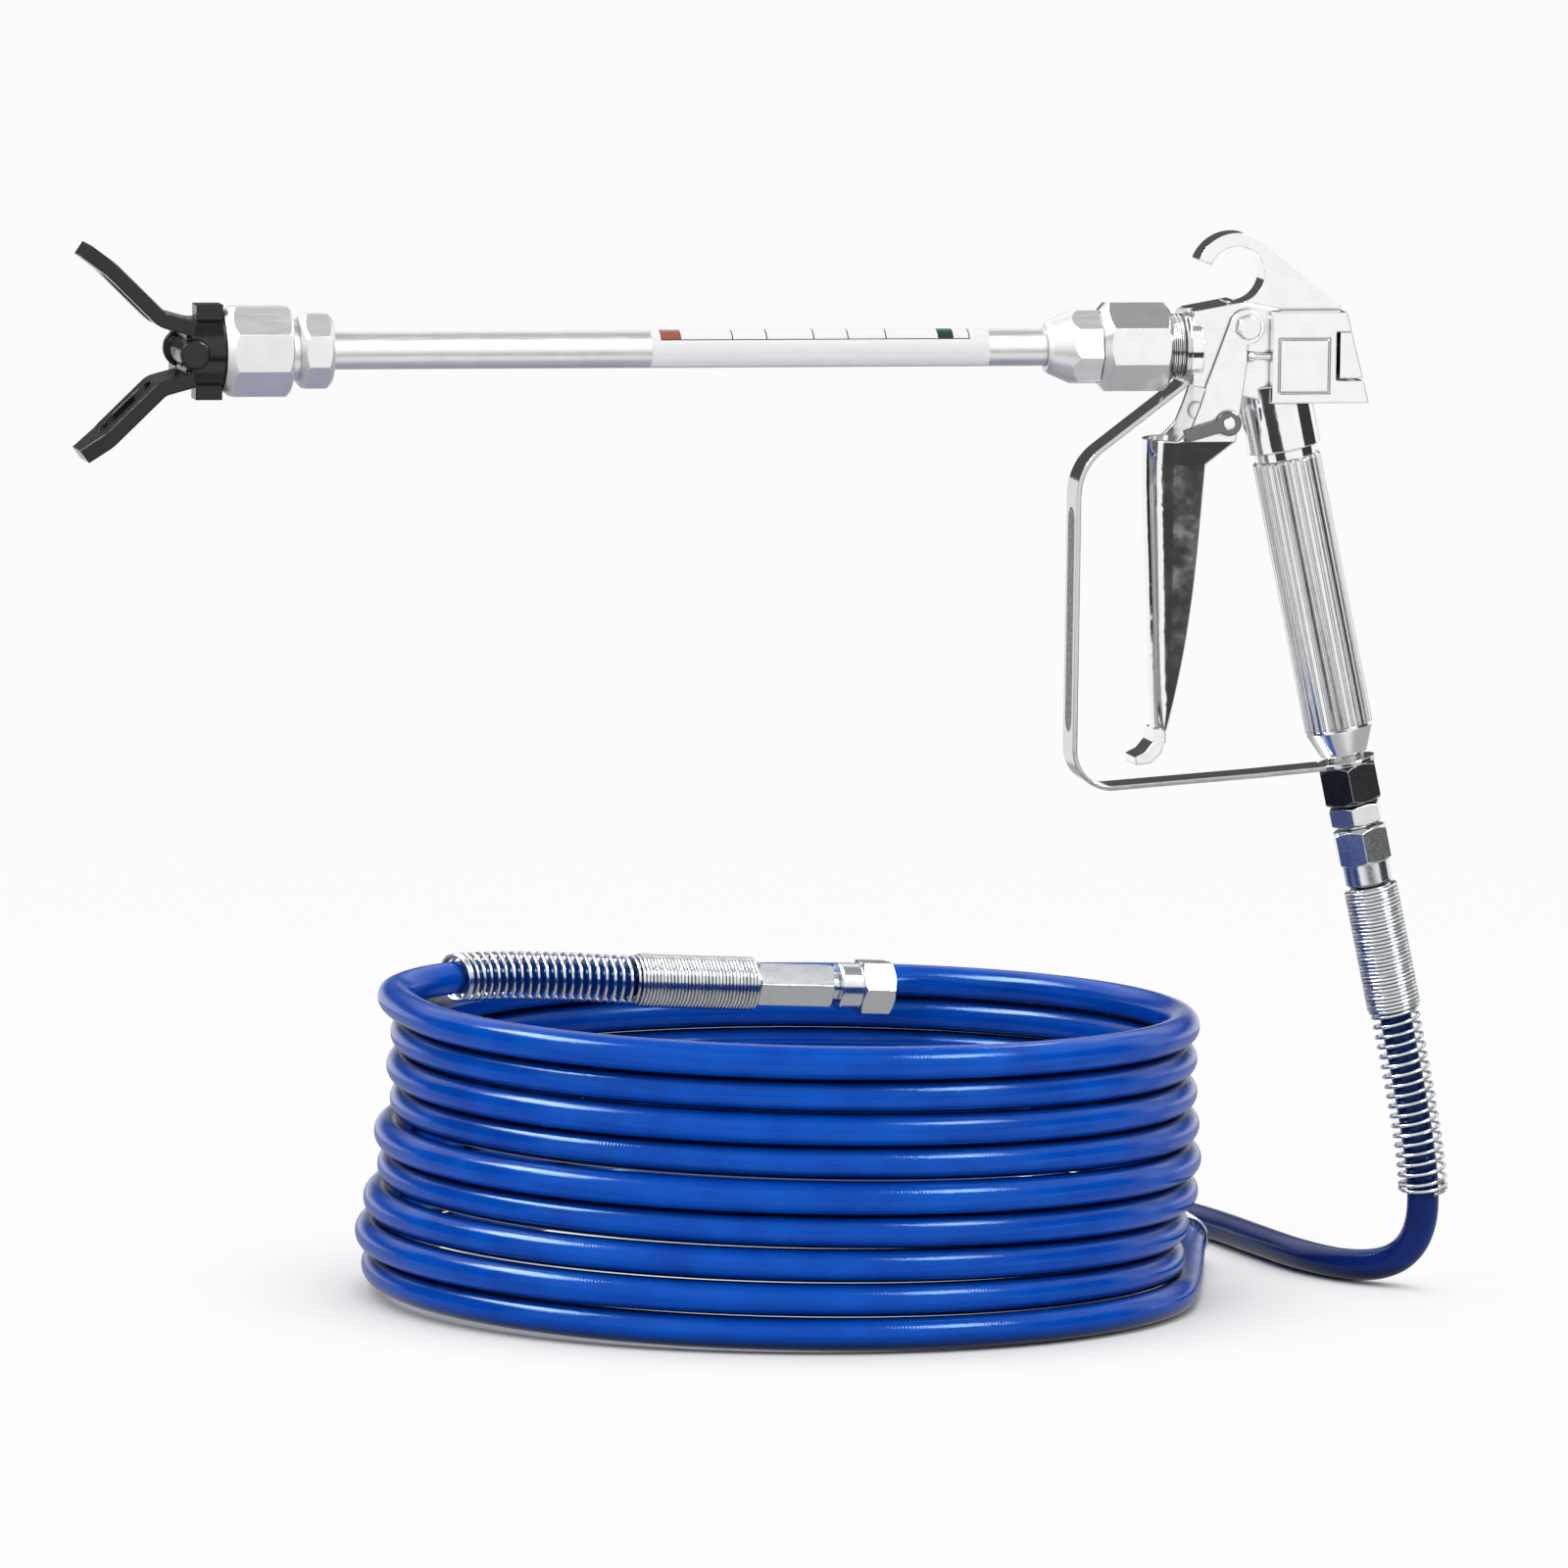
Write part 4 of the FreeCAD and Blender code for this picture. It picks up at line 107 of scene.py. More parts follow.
class Path:
    """A line with distances along it, and a frame at each point that doesn't twist."""

    def __init__(self, line, side=Vector((0, 0, 1))):
        self.points = [line[0]]
        for point in line[1:]:
            if (point - self.points[-1]).length > 1e-6:
                self.points.append(point)
        self.distances = [0.0]
        for a, b in zip(self.points, self.points[1:]):
            self.distances.append(self.distances[-1] + (b - a).length)
        self.length = self.distances[-1]
        self.ways = []
        last = len(self.points) - 1
        for index in range(last + 1):
            way = self.points[min(index + 1, last)] - self.points[max(index - 1, 0)]
            self.ways.append(way.normalized())
        first = side - self.ways[0] * side.dot(self.ways[0])
        if first.length < 0.1:
            first = Vector((1, 0, 0)) - self.ways[0] * self.ways[0].x
        self.sides = [first.normalized()]
        for before, way in zip(self.ways, self.ways[1:]):
            carried = before.rotation_difference(way) @ self.sides[-1]
            self.sides.append((carried - way * carried.dot(way)).normalized())

    def at(self, distance):
        """The point, direction and side at a distance from the start."""
        low, high = 0, len(self.distances) - 1
        while high - low > 1:
            middle = (low + high) // 2
            if self.distances[middle] <= distance:
                low = middle
            else:
                high = middle
        span = self.distances[high] - self.distances[low]
        share = (distance - self.distances[low]) / span
        point = self.points[low].lerp(self.points[high], share)
        way = self.ways[low].lerp(self.ways[high], min(max(share, 0), 1)).normalized()
        side = self.sides[low].lerp(self.sides[high], min(max(share, 0), 1))
        side = (side - way * side.dot(way)).normalized()
        return point, way, side


def new_piece(name, vertices, faces, loops):
    """A smooth mesh piece on the gun's body; loops gives each face corner's place on the surface."""
    mesh = bpy.data.meshes.new(name)
    mesh.from_pydata(vertices, [], faces)
    layer = mesh.uv_layers.new(name="along")
    for polygon in mesh.polygons:
        for corner, place in zip(polygon.loop_indices, loops[polygon.index]):
            layer.data[corner].uv = place
    mesh.shade_smooth()
    mesh.set_sharp_from_angle(angle=TUBE_SHARP)
    piece = bpy.data.objects.new(name, mesh)
    scene.collection.objects.link(piece)
    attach(piece, "gun")
    return piece


def tube(name, path, radius, sides):
    """A round tube along a path, closed at both ends."""
    vertices = []
    faces = []
    loops = []
    turns = [2 * math.pi * index / sides for index in range(sides)]
    for point, way, side in zip(path.points, path.ways, path.sides):
        across = way.cross(side)
        vertices += [point + (side * math.cos(turn) + across * math.sin(turn)) * radius for turn in turns]
    for ring in range(len(path.points) - 1):
        low, high = path.distances[ring], path.distances[ring + 1]
        for index in range(sides):
            following = (index + 1) % sides
            base = ring * sides
            faces.append((base + index, base + following, base + sides + following, base + sides + index))
            left, right_side = index / sides, (index + 1) / sides
            loops.append(((low, left), (low, right_side), (high, right_side), (high, left)))
    last = (len(path.points) - 1) * sides
    faces.append(tuple(range(sides - 1, -1, -1)))
    loops.append([(0, 0)] * sides)
    faces.append(tuple(range(last, last + sides)))
    loops.append([(path.length, 0)] * sides)
    return new_piece(name, vertices, faces, loops)


# The hoses. The points are those of the solids' routes, in millimetres, and their third number is a height
# above the middle of a hose that lies on the floor. The main hose is drawn a little thicker than it is, so
# that the coil's turns touch.

HOSE = 0.0108
SEEN_HOSE = 0.0113
HOSE_SIDES = 24
REST = -0.2353
COIL_MIDDLE = Vector((-0.1755, 0.0200, 0))
HALF_TURN_RADII = [
    133.5, 133.8, 129.8, 133.5, 131.1, 133.5, 129.8, 134.8, 135.1, 135.1,
    133.8, 134.5, 138.5, 131.1, 141.5, 129.8, 139.5, 136.1, 137.0,
]
LAST_TURN_HEIGHTS = [0.1, 1.2, 4.1, 6.9, 9.7]
COIL_START = 188.0
COIL_END = 3226.0
COIL_PITCH = 11.3
RADII_PER_TURN = 2
HEIGHTS_PER_TURN = 4
POINTS_PER_TURN = 24

LEADER_START = (22.91, 0.0, -105.03 + 235.3)
LEADER_POINTS = [
    (31.65, 0.0, 90.22),
    (39.4, -0.2, 53.8),
    (43.3, 0.3, 27.3),
    (42.6, 6.0, 12.3),
    (36.5, 14.5, 2.8),
    (24.5, 24.5, 0.0),
    (13.5, 50.0, 0.0),
    (7.0, 89.0, 0.0),
    (0.5, 132.0, 0.0),
    (-12.0, 177.0, 0.0),
    (-28.0, 221.0, 0.0),
    (-45.0, 264.0, 0.0),
    (-60.0, 305.0, 0.0),
    (-69.4, 346.1, 0.0),
    (-88.9, 377.2, 0.0),
    (-121.8, 393.3, 0.0),
    (-158.3, 389.4, 0.0),
    (-187.3, 366.8, 0.0),
    (-199.8, 332.3, 0.0),
    (-192.2, 296.4, 1.1),
    (-171.1, 274.5, 3.4),
    (-134.91, 237.13, 4.8),
]
LEADER_END = (-100.18, 201.17, 4.8)
LOWER_START = (114.21, 140.89, 4.8)
LOWER_POINTS = [
    (137.83, 116.43, 4.8),
    (148.0, 93.5, 4.6),
    (153.5, 53.0, 3.4),
    (147.3, 27.6, 2.0),
]
UPPER_POINTS = [
    (27.1, 86.0, 89.0),
    (-34.13, 76.85, 92.3),
    (-62.0, 72.7, 94.9),
    (-93.6, 68.1, 96.2),
    (-110.6, 59.6, 96.1),
    (-124.2, 46.4, 95.4),
    (-133.0, 29.6, 94.5),
]


def lifted(points):
    """Points in millimetres, whose third number is a height above a resting hose's middle, in metres."""
    return [Vector((x / 1000, y / 1000, z / 1000 + REST)) for x, y, z in points]


def about_coil(points):
    """Points in millimetres, given from the coil's middle, in metres."""
    return [point + COIL_MIDDLE for point in lifted(points)]


def eased(values, at):
    """The value between a list's entries, on a smooth curve through them."""
    index = min(max(int(at), 0), len(values) - 2)
    share = at - index
    here, there = values[index], values[index + 1]
    out_slope = (there - values[max(index - 1, 0)]) / 2
    in_slope = (values[min(index + 2, len(values) - 1)] - here) / 2
    bend = share * (1 - share)
    rise = share * share * (3 - 2 * share)
    return here + (there - here) * rise + out_slope * bend * (1 - share) - in_slope * bend * share


def coil_points():
    """The coil's points, from its upper end to its lower one."""
    turns = (COIL_END - COIL_START) / 360
    linear_from = len(LAST_TURN_HEIGHTS) - 2
    outside = 1 / math.cos(math.pi / POINTS_PER_TURN)
    count = round(turns * POINTS_PER_TURN)
    points = []
    for index in range(count + 1):
        turn = turns * index / count
        left = turns - turn
        height = LAST_TURN_HEIGHTS[linear_from] + (left - linear_from / HEIGHTS_PER_TURN) * COIL_PITCH
        if HEIGHTS_PER_TURN * left < linear_from:
            height = eased(LAST_TURN_HEIGHTS, HEIGHTS_PER_TURN * left)
        angle = math.radians(COIL_START + 360 * turn)
        radius = eased(HALF_TURN_RADII, RADII_PER_TURN * turn)
        if 0 < index < count:
            radius *= outside
        points.append((radius * math.cos(angle), radius * math.sin(angle), height))
    return about_coil(points)


coil = coil_points()
main_points = about_coil([LOWER_START] + LOWER_POINTS)
main_points += coil[::-1]
main_points += about_coil(UPPER_POINTS)[::-1]
leader_points = lifted([LEADER_START] + LEADER_POINTS + [LEADER_END])

main_path = Path(smooth_line(main_points))
leader_path = Path(smooth_line(leader_points))
main_hose = tube("main_hose", main_path, SEEN_HOSE / 2, HOSE_SIDES)
leader_hose = tube("leader_hose_sheath", leader_path, HOSE / 2, HOSE_SIDES)
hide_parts("main_hose_lower", "hose_coil", "main_hose_upper")
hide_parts("leader_hose")


# Spring guards. Each is wound round its hose, closely over the ferrule and openly beyond it.

WIRE = 0.00062
WIRE_SIDES = 8
TIGHT_RADIUS = 0.0093 - WIRE
OPEN_RADIUS = 0.0085 - WIRE
TIGHT_PITCH = 2 * WIRE * 1.02
TIGHT_LENGTH = 0.043
CLOSING_TURNS = 1.5
NARROWS_BEFORE = 1.0
NARROWS_OVER = 1.5
STEPS_PER_TURN = 24


def spring(name, line, start, loose, loose_pitch, slot_node):
    """A spring guard along a line that starts at the fitting's sealing face."""
    path = Path(line, Vector((0, 1, 0)))
    tight_turns = TIGHT_LENGTH / TIGHT_PITCH
    loose_turns = loose / loose_pitch
    total = int((tight_turns + loose_turns + CLOSING_TURNS) * STEPS_PER_TURN)
    points = []
    for index in range(total + 1):
        turn = index / STEPS_PER_TURN
        if turn < tight_turns:
            along = turn * TIGHT_PITCH
        elif turn < tight_turns + loose_turns:
            share = turn - tight_turns
            ramp = min(share, 1.0)
            along = TIGHT_LENGTH + TIGHT_PITCH * ramp * (1 - ramp / 2)
            along += loose_pitch * (share - ramp + ramp * ramp / 2)
        else:
            along = along_at_close + TIGHT_PITCH * (turn - tight_turns - loose_turns)
        along_at_close = along if turn < tight_turns + loose_turns else along_at_close
        blend = min(max((turn - tight_turns + NARROWS_BEFORE) / NARROWS_OVER, 0), 1)
        blend = blend * blend * (3 - 2 * blend)
        radius = TIGHT_RADIUS + (OPEN_RADIUS - TIGHT_RADIUS) * blend
        point, way, side = path.at(start + along)
        angle = 2 * math.pi * turn
        across = way.cross(side)
        points.append(point + (side * math.cos(angle) + across * math.sin(angle)) * radius)
    piece = tube(name, Path(points), WIRE, WIRE_SIDES)
    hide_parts(slot_node)
    return piece


# Where the hoses' fittings seal, how far from there a guard starts, and how long its open part is.

GUN_FACE = Vector((0.01949, 0, -0.08940))
LEADER_FACE = Vector((-0.08907, 0.18966, -0.2305))
MAIN_FACE = Vector((-0.07240, 0.17240, -0.2305))
PUMP_FACE = Vector((-0.13043, 0.10869, -0.14727))
SHORT_START = 0.0119
LONG_START = 0.0413
GUN_LOOSE = 0.063
JOIN_LOOSE = 0.060
PUMP_LOOSE = 0.0665
LOOSE_PITCH = 0.0035
PUMP_PITCH = 0.0031

from_gun = [GUN_FACE] + leader_path.points
from_leader = [LEADER_FACE] + leader_path.points[::-1]
from_main = [MAIN_FACE] + main_path.points
from_pump = [PUMP_FACE] + main_path.points[::-1]
springs = [
    spring("leader_gun_guard", from_gun, SHORT_START, GUN_LOOSE, LOOSE_PITCH, "leader_gun_spring"),
    spring("leader_join_guard", from_leader, SHORT_START, JOIN_LOOSE, LOOSE_PITCH, "leader_join_spring"),
    spring("main_join_guard", from_main, SHORT_START, JOIN_LOOSE, LOOSE_PITCH, "main_join_spring"),
    spring("pump_guard", from_pump, LONG_START, PUMP_LOOSE, PUMP_PITCH, "pump_spring"),
]


# Materials

SPRAY_HEIGHT = 0.0842
THREAD_PITCH = 0.0014
THREAD_DEPTH = 0.0003
BRAID_PITCH = 0.00125
BRAID_STRANDS = 9
BRAID_DEPTH = 0.000010

# The label's places in the gun's frame: where its cells start and end, the height of the rule along it, the
# red cell at its front, the green cell near its rear, and the lines between the cells above the rule.

LABEL_FRONT = -0.2284
LABEL_REAR = -0.1221
LABEL_RULE = 0.0876
RULE_WIDTH = 0.0003
RED_REAR = -0.2213
GREEN_FRONT = -0.1329
GREEN_REAR = -0.1275
CELL_LINES = (-0.2037, -0.1919, -0.1757, -0.1639, -0.1508, LABEL_REAR)
CELL_LINE_HALF = 0.0002

# The recess on the front of the trigger guard's upright part, round at its two ends.

RECESS_RADIUS = 0.0048
RECESS_MIDDLE = -0.0085
RECESS_STRAIGHT_HALF = 0.0335
RECESS_FRONT = -0.0843
RECESS_DEPTH = 0.0004
GUARD_GREY = (0.62, 0.63, 0.64)
GUARD_GLOSS = 0.10
NODE_SHARP = math.radians(32)


def add_node(tree, kind, values=None, **settings):
    """A new node; each value is a number, a colour or another node's output."""
    made = tree.nodes.new(kind)
    for name, value in settings.items():
        setattr(made, name, value)
    for name, value in (values or {}).items():
        if isinstance(value, bpy.types.NodeSocket):
            tree.links.new(value, made.inputs[name])
        else:
            made.inputs[name].default_value = value
    return made


class Look:
    """A material whose shader inputs can be fed by textures."""

    def __init__(self, name, colour, roughness, metallic=0.0):
        self.material = bpy.data.materials.new(name)
        self.material.use_nodes = True
        self.tree = self.material.node_tree
        self.shader = self.tree.nodes["Principled BSDF"]
        self.shader.inputs["Base Color"].default_value = (*colour, 1)
        self.shader.inputs["Roughness"].default_value = roughness
        self.shader.inputs["Metallic"].default_value = metallic
        self.place = None
        self.bumped = None

    def soften(self, radius):
        """Shades sharp edges as if they were rounded by a radius in metres."""
        self.bumped = self.node("ShaderNodeBevel", {"Radius": radius}, samples=6).outputs[0]
        self.link(self.bumped, "Normal")

    def crease(self, reach):
        """Near one in the open and near zero in seams and corners narrower than a reach in metres."""
        return self.node("ShaderNodeAmbientOcclusion", {"Distance": reach}, samples=8).outputs["AO"]

    def node(self, kind, values=None, **settings):
        return add_node(self.tree, kind, values, **settings)

    def link(self, socket, name):
        """Feeds one of the shader's inputs."""
        self.tree.links.new(socket, self.shader.inputs[name])

    def coordinates(self, scale=(1, 1, 1), kind="Object"):
        """The place on the piece, in its own metres or along a hose."""
        if self.place is None:
            self.place = self.node("ShaderNodeTexCoord")
        mapping = self.node("ShaderNodeMapping", {"Vector": self.place.outputs[kind]})
        mapping.inputs["Scale"].default_value = scale
        return mapping.outputs[0]

    def noise(self, size, detail=4.0, stretch=(1, 1, 1)):
        """A cloudy pattern with features of a size in metres."""
        where = self.coordinates(tuple(value / size for value in stretch))
        values = {"Vector": where, "Scale": 1.0, "Detail": detail}
        return self.node("ShaderNodeTexNoise", values).outputs["Fac"]

    def spread(self, socket, low, high, start=0.0, end=1.0):
        """Maps a pattern's range from start..end to low..high."""
        values = {"Value": socket, "From Min": start, "From Max": end, "To Min": low, "To Max": high}
        return self.node("ShaderNodeMapRange", values).outputs["Result"]

    def mix(self, share, first, second):
        """The first colour where the share is zero, the second where it is one."""
        made = self.node("ShaderNodeMix", {0: share}, data_type="RGBA")
        for index, value in ((6, first), (7, second)):
            if isinstance(value, bpy.types.NodeSocket):
                self.tree.links.new(value, made.inputs[index])
            else:
                made.inputs[index].default_value = (*value, 1)
        return made.outputs[2]

    def math(self, operation, first, second=0.0):
        return self.node("ShaderNodeMath", {0: first, 1: second}, operation=operation).outputs[0]

    def bump(self, height, depth):
        """Adds relief of a depth in metres."""
        made = self.node("ShaderNodeBump", {"Height": height, "Distance": depth, "Strength": 1.0})
        if self.bumped is not None:
            self.tree.links.new(self.bumped, made.inputs["Normal"])
        self.bumped = made.outputs["Normal"]
        self.link(self.bumped, "Normal")


def linear(red, green, blue):
    """A colour given as it looks on a screen, 0 to 255, in the shader's own terms."""
    return tuple(((value / 255) / 12.92 if value <= 10 else ((value / 255 + 0.055) / 1.055) ** 2.4)
                 for value in (red, green, blue))


def chrome_look(name, colour=(0.96, 0.965, 0.97), gloss=0.04, wave=0.00002, edge=0.0007):
    """Plated metal, faintly clouded and waved, with rounded edges and painted shade that darkens its seams
    and creases.
    """
    look = Look(name, colour, gloss, 1.0)
    look.soften(edge)
    cloud = look.noise(0.006, 5.0)
    look.link(look.spread(cloud, gloss, gloss + 0.07, 0.35, 0.8), "Roughness")
    tint = look.mix(look.spread(cloud, 0, 1, 0.3, 0.75), tuple(0.93 * value for value in colour), colour)
    # Painted shade: the colour turns near black in seams and corners, where ambient occlusion finds little
    # open space.
    painted_shade_share = look.spread(look.crease(0.0022), 0, 1, 0.30, 0.75)
    look.link(look.mix(painted_shade_share, (0.03, 0.03, 0.032), tint), "Base Color")
    look.bump(look.noise(0.009, 2.0), wave * 2)
    look.bump(look.noise(0.0009, 3.0), wave / 12)
    return look


def thread_look():
    """Chrome with a screw thread round the line of the spray."""
    look = chrome_look("threaded_chrome")
    parts = look.node("ShaderNodeSeparateXYZ", {0: look.coordinates()})
    above = look.math("SUBTRACT", parts.outputs[2], SPRAY_HEIGHT)
    turn = look.math("ARCTAN2", parts.outputs[1], above)
    along = look.math("MULTIPLY", parts.outputs[0], 2 * math.pi / THREAD_PITCH)
    look.bump(look.math("SINE", look.math("ADD", along, turn)), THREAD_DEPTH)
    return look


def satin_look(name, colour, gloss, grain=(1, 1, 1), size=0.0006, depth=0.000006, stain=0.94):
    """Metal with a fine grain, a faint stain and painted shade in its seams and creases; grain stretches it
    along an axis.
    """
    look = Look(name, colour, gloss, 1.0)
    look.soften(0.0004)
    fine = look.noise(size, 3.0, grain)
    cloud = look.noise(0.007, 4.0)
    look.link(look.spread(fine, gloss - 0.04, gloss + 0.06, 0.3, 0.7), "Roughness")
    tint = look.mix(look.spread(cloud, 0, 1, 0.35, 0.7), tuple(stain * value for value in colour), colour)
    # Painted shade: the colour darkens nearly to black in seams and corners, where ambient occlusion finds
    # little open space.
    painted_shade_share = look.spread(look.crease(0.0018), 0, 1, 0.25, 0.7)
    look.link(look.mix(painted_shade_share, tuple(0.08 * value for value in colour), tint), "Base Color")
    look.bump(fine, depth)
    return look


def black_edge_highlight_look():
    """Blackened steel with a painted highlight along its edges."""
    look = satin_look("black_oxide", (0.035, 0.035, 0.038), 0.26, size=0.0004, stain=0.7)
    round_normal = look.node("ShaderNodeBevel", {"Radius": 0.0006}, samples=8).outputs[0]
    true_normal = look.node("ShaderNodeNewGeometry").outputs["True Normal"]
    facing = look.node("ShaderNodeVectorMath", {0: round_normal, 1: true_normal}, operation="DOT_PRODUCT")
    # Painted highlight: edges, where the rounded normal leaves the true one, are coloured pale grey.
    wear_and_highlight = look.spread(facing.outputs["Value"], 1, 0, 0.90, 0.985)
    tint = look.mix(look.noise(0.002, 3.0), (0.025, 0.025, 0.028), (0.06, 0.06, 0.065))
    look.link(look.mix(wear_and_highlight, tint, (0.62, 0.62, 0.62)), "Base Color")
    return look


def hose_look(name, deep, bright, gloss, painted_shade):
    """A glossy sheath with a faint woven relief, with painted shade making it darker between the turns."""
    look = Look(name, deep, gloss)
    along = look.coordinates((1, 1, 1), "UV")
    parts = look.node("ShaderNodeSeparateXYZ", {0: along})
    distance, around = parts.outputs[0], parts.outputs[1]
    lengthwise = look.math("MULTIPLY", distance, 2 * math.pi / BRAID_PITCH)
    roundwise = look.math("MULTIPLY", around, 2 * math.pi * BRAID_STRANDS)
    first = look.math("SINE", look.math("ADD", lengthwise, roundwise))
    second = look.math("SINE", look.math("SUBTRACT", lengthwise, roundwise))
    braid = look.math("MAXIMUM", first, second)
    cloud = look.noise(0.02, 4.0)
    tint = look.mix(look.spread(cloud, 0, 1, 0.3, 0.7), deep, bright)
    # Painted shade: a dark colour between the turns, where ambient occlusion finds little open space.
    open_share = look.spread(look.crease(0.009), 0, 1, 0.30, 0.95)
    look.link(look.mix(open_share, painted_shade, tint), "Base Color")
    look.link(look.spread(look.noise(0.003, 3.0), gloss - 0.04, gloss + 0.06, 0.3, 0.7), "Roughness")
    look.bump(braid, BRAID_DEPTH)
    look.bump(look.noise(0.0018, 3.0), BRAID_DEPTH)
    look.shader.inputs["Specular IOR Level"].default_value = 0.35
    look.shader.inputs["Specular Tint"].default_value = (0.40, 0.70, 1.0, 1)
    return look


def plastic_look(name, colour, gloss, size=0.0004, depth=0.000012):
    """Moulded plastic or rubber with a fine grain."""
    look = Look(name, colour, gloss)
    look.soften(0.0009)
    grain = look.noise(size, 3.0)
    cloud = look.noise(0.008, 4.0)
    look.link(look.spread(grain, gloss - 0.06, gloss + 0.12, 0.3, 0.7), "Roughness")
    wear_and_highlight = tuple(1.7 * value for value in colour)
    look.link(look.mix(look.spread(cloud, 0, 1, 0.35, 0.7), colour, wear_and_highlight), "Base Color")
    look.bump(grain, depth)
    return look


def between(look, socket, low, high):
    """One where a value lies between two others."""
    above = look.math("GREATER_THAN", socket, low)
    return look.math("MULTIPLY", above, look.math("LESS_THAN", socket, high))


def label_look():
    """Pale film with ruled, blank cells, one red and one green."""
    look = Look("label_film", (0.90, 0.90, 0.90), 0.22)
    parts = look.node("ShaderNodeSeparateXYZ", {0: look.coordinates()})
    along, height = parts.outputs[0], parts.outputs[2]
    lines = look.math("MULTIPLY", between(look, height, LABEL_RULE, LABEL_RULE + RULE_WIDTH),
                      between(look, along, LABEL_FRONT, LABEL_REAR))
    upper = look.math("GREATER_THAN", height, LABEL_RULE)
    for place in CELL_LINES:
        line = between(look, along, place - CELL_LINE_HALF, place + CELL_LINE_HALF)
        lines = look.math("MAXIMUM", lines, look.math("MULTIPLY", upper, line))
    red = look.math("MULTIPLY", upper, between(look, along, LABEL_FRONT, RED_REAR))
    green = look.math("MULTIPLY", upper, between(look, along, GREEN_FRONT, GREEN_REAR))
    film = look.mix(look.spread(look.noise(0.004, 3.0), 0, 1), (0.86, 0.86, 0.86), (0.93, 0.93, 0.93))
    colour = look.mix(red, film, (0.36, 0.10, 0.07))
    colour = look.mix(green, colour, (0.02, 0.05, 0.035))
    look.link(look.mix(lines, colour, (0.03, 0.03, 0.03)), "Base Color")
    return look


def guard_look():
    """The trigger guard's plate, with a long rough recess on the front of its upright part."""
    look = chrome_look("guard_plate", GUARD_GREY, GUARD_GLOSS)
    parts = look.node("ShaderNodeSeparateXYZ", {0: look.coordinates()})
    across = look.math("DIVIDE", look.math("ABSOLUTE", parts.outputs[1]), RECESS_RADIUS)
    high = look.math("ABSOLUTE", look.math("SUBTRACT", parts.outputs[2], RECESS_MIDDLE))
    high = look.math("MAXIMUM", look.math("SUBTRACT", high, RECESS_STRAIGHT_HALF), 0.0)
    beyond = look.math("DIVIDE", high, RECESS_RADIUS)
    reach = look.math("ADD", look.math("MULTIPLY", across, across), look.math("MULTIPLY", beyond, beyond))
    in_front = look.math("LESS_THAN", parts.outputs[0], RECESS_FRONT)
    inside = look.math("MULTIPLY", look.math("LESS_THAN", reach, 1.0), in_front)
    rough = look.noise(0.0009, 5.0)
    dark = look.mix(look.spread(rough, 0, 1, 0.35, 0.65), (0.05, 0.05, 0.05), (0.42, 0.42, 0.42))
    look.link(look.mix(inside, GUARD_GREY, dark), "Base Color")
    look.link(look.spread(inside, GUARD_GLOSS, 0.45), "Roughness")
    look.bump(look.math("MULTIPLY", inside, rough), RECESS_DEPTH)
    return look


looks = {
    "chrome": chrome_look("chrome_plate"),
    "lock_zinc": satin_look("pressed_zinc", (0.20, 0.20, 0.20), 0.16),
    "steel": satin_look("plain_steel", (0.60, 0.60, 0.61), 0.26),
    "carbide": satin_look("ground_carbide", (0.40, 0.40, 0.41), 0.30),
    "black_oxide": black_edge_highlight_look(),
    "satin_fitting": satin_look("satin_nickel", (0.93, 0.93, 0.92), 0.20, depth=0.000003),
    "grip_chrome": chrome_look("grip_plate", (0.95, 0.95, 0.95), 0.12, edge=0.0003),
    "pole_aluminium": satin_look("anodised_aluminium", (0.90, 0.90, 0.90), 0.38, grain=(0.04, 1, 1),
                                 size=0.0004, depth=0.000002),
    "seal": plastic_look("dark_seal", (0.03, 0.03, 0.03), 0.45),
    "guard_plastic": plastic_look("black_moulding", (0.004, 0.004, 0.0045), 0.19),
    "tip_plastic": plastic_look("black_handle", (0.005, 0.005, 0.0055), 0.18),
    "zinc": satin_look("zinc_plate", (0.80, 0.83, 0.85), 0.17, depth=0.000002),
    "spring_wire": satin_look("bright_wire", (0.80, 0.83, 0.85), 0.16, depth=0.000003),
    # The last colour of each hose is its painted shade between the turns.
    "main_hose": hose_look("blue_sheath", linear(0, 70, 182), linear(0, 88, 205), 0.13,
                           linear(0, 10, 62)),
    "leader_hose": hose_look("navy_sheath", linear(14, 32, 98), linear(26, 48, 124), 0.16,
                             linear(4, 12, 48)),
    "label": label_look(),
}
slot_of = {row["node"]: row["material_slot"] for row in frame["record"]["subparts"]}


def dress(thing, look):
    """Gives a piece one material."""
    thing.data.materials.clear()
    thing.data.materials.append(look.material)


for name, thing in nodes.items():
    dress(thing, looks[slot_of[name]])
    thing.data.shade_smooth()
    thing.data.set_sharp_from_angle(angle=NODE_SHARP)
dress(nodes["trigger_guard"], guard_look())
dress(nodes["outlet_fitting"], thread_look())
dress(main_hose, looks["main_hose"])
dress(leader_hose, looks["leader_hose"])
for piece in springs:
    dress(piece, looks["spring_wire"])


# Floor, world and lamps

WHITE = (1, 1, 1, 1)
WORLD_LIGHT = 0.55
FLOOR_HALF = 60.0
FLOOR_HEIGHT = -0.2408
FLOOR_GREY = (0.80, 0.80, 0.80, 1)

# How much of the open floor glows white, and how near the object it gives way to the object's shadow.

FLOOR_GLOW = 0.93
SHADE_REACH = 0.10
SHADE_FROM = 0.35
SHADE_TO = 0.85

# Places that the lamps and cards face: the object's middle, the gun's head and the coil.

MIDDLE = (-0.17, 0.05, -0.06)
HEAD = (-0.03, 0.0, 0.15)
COIL = (-0.175, 0.02, -0.18)


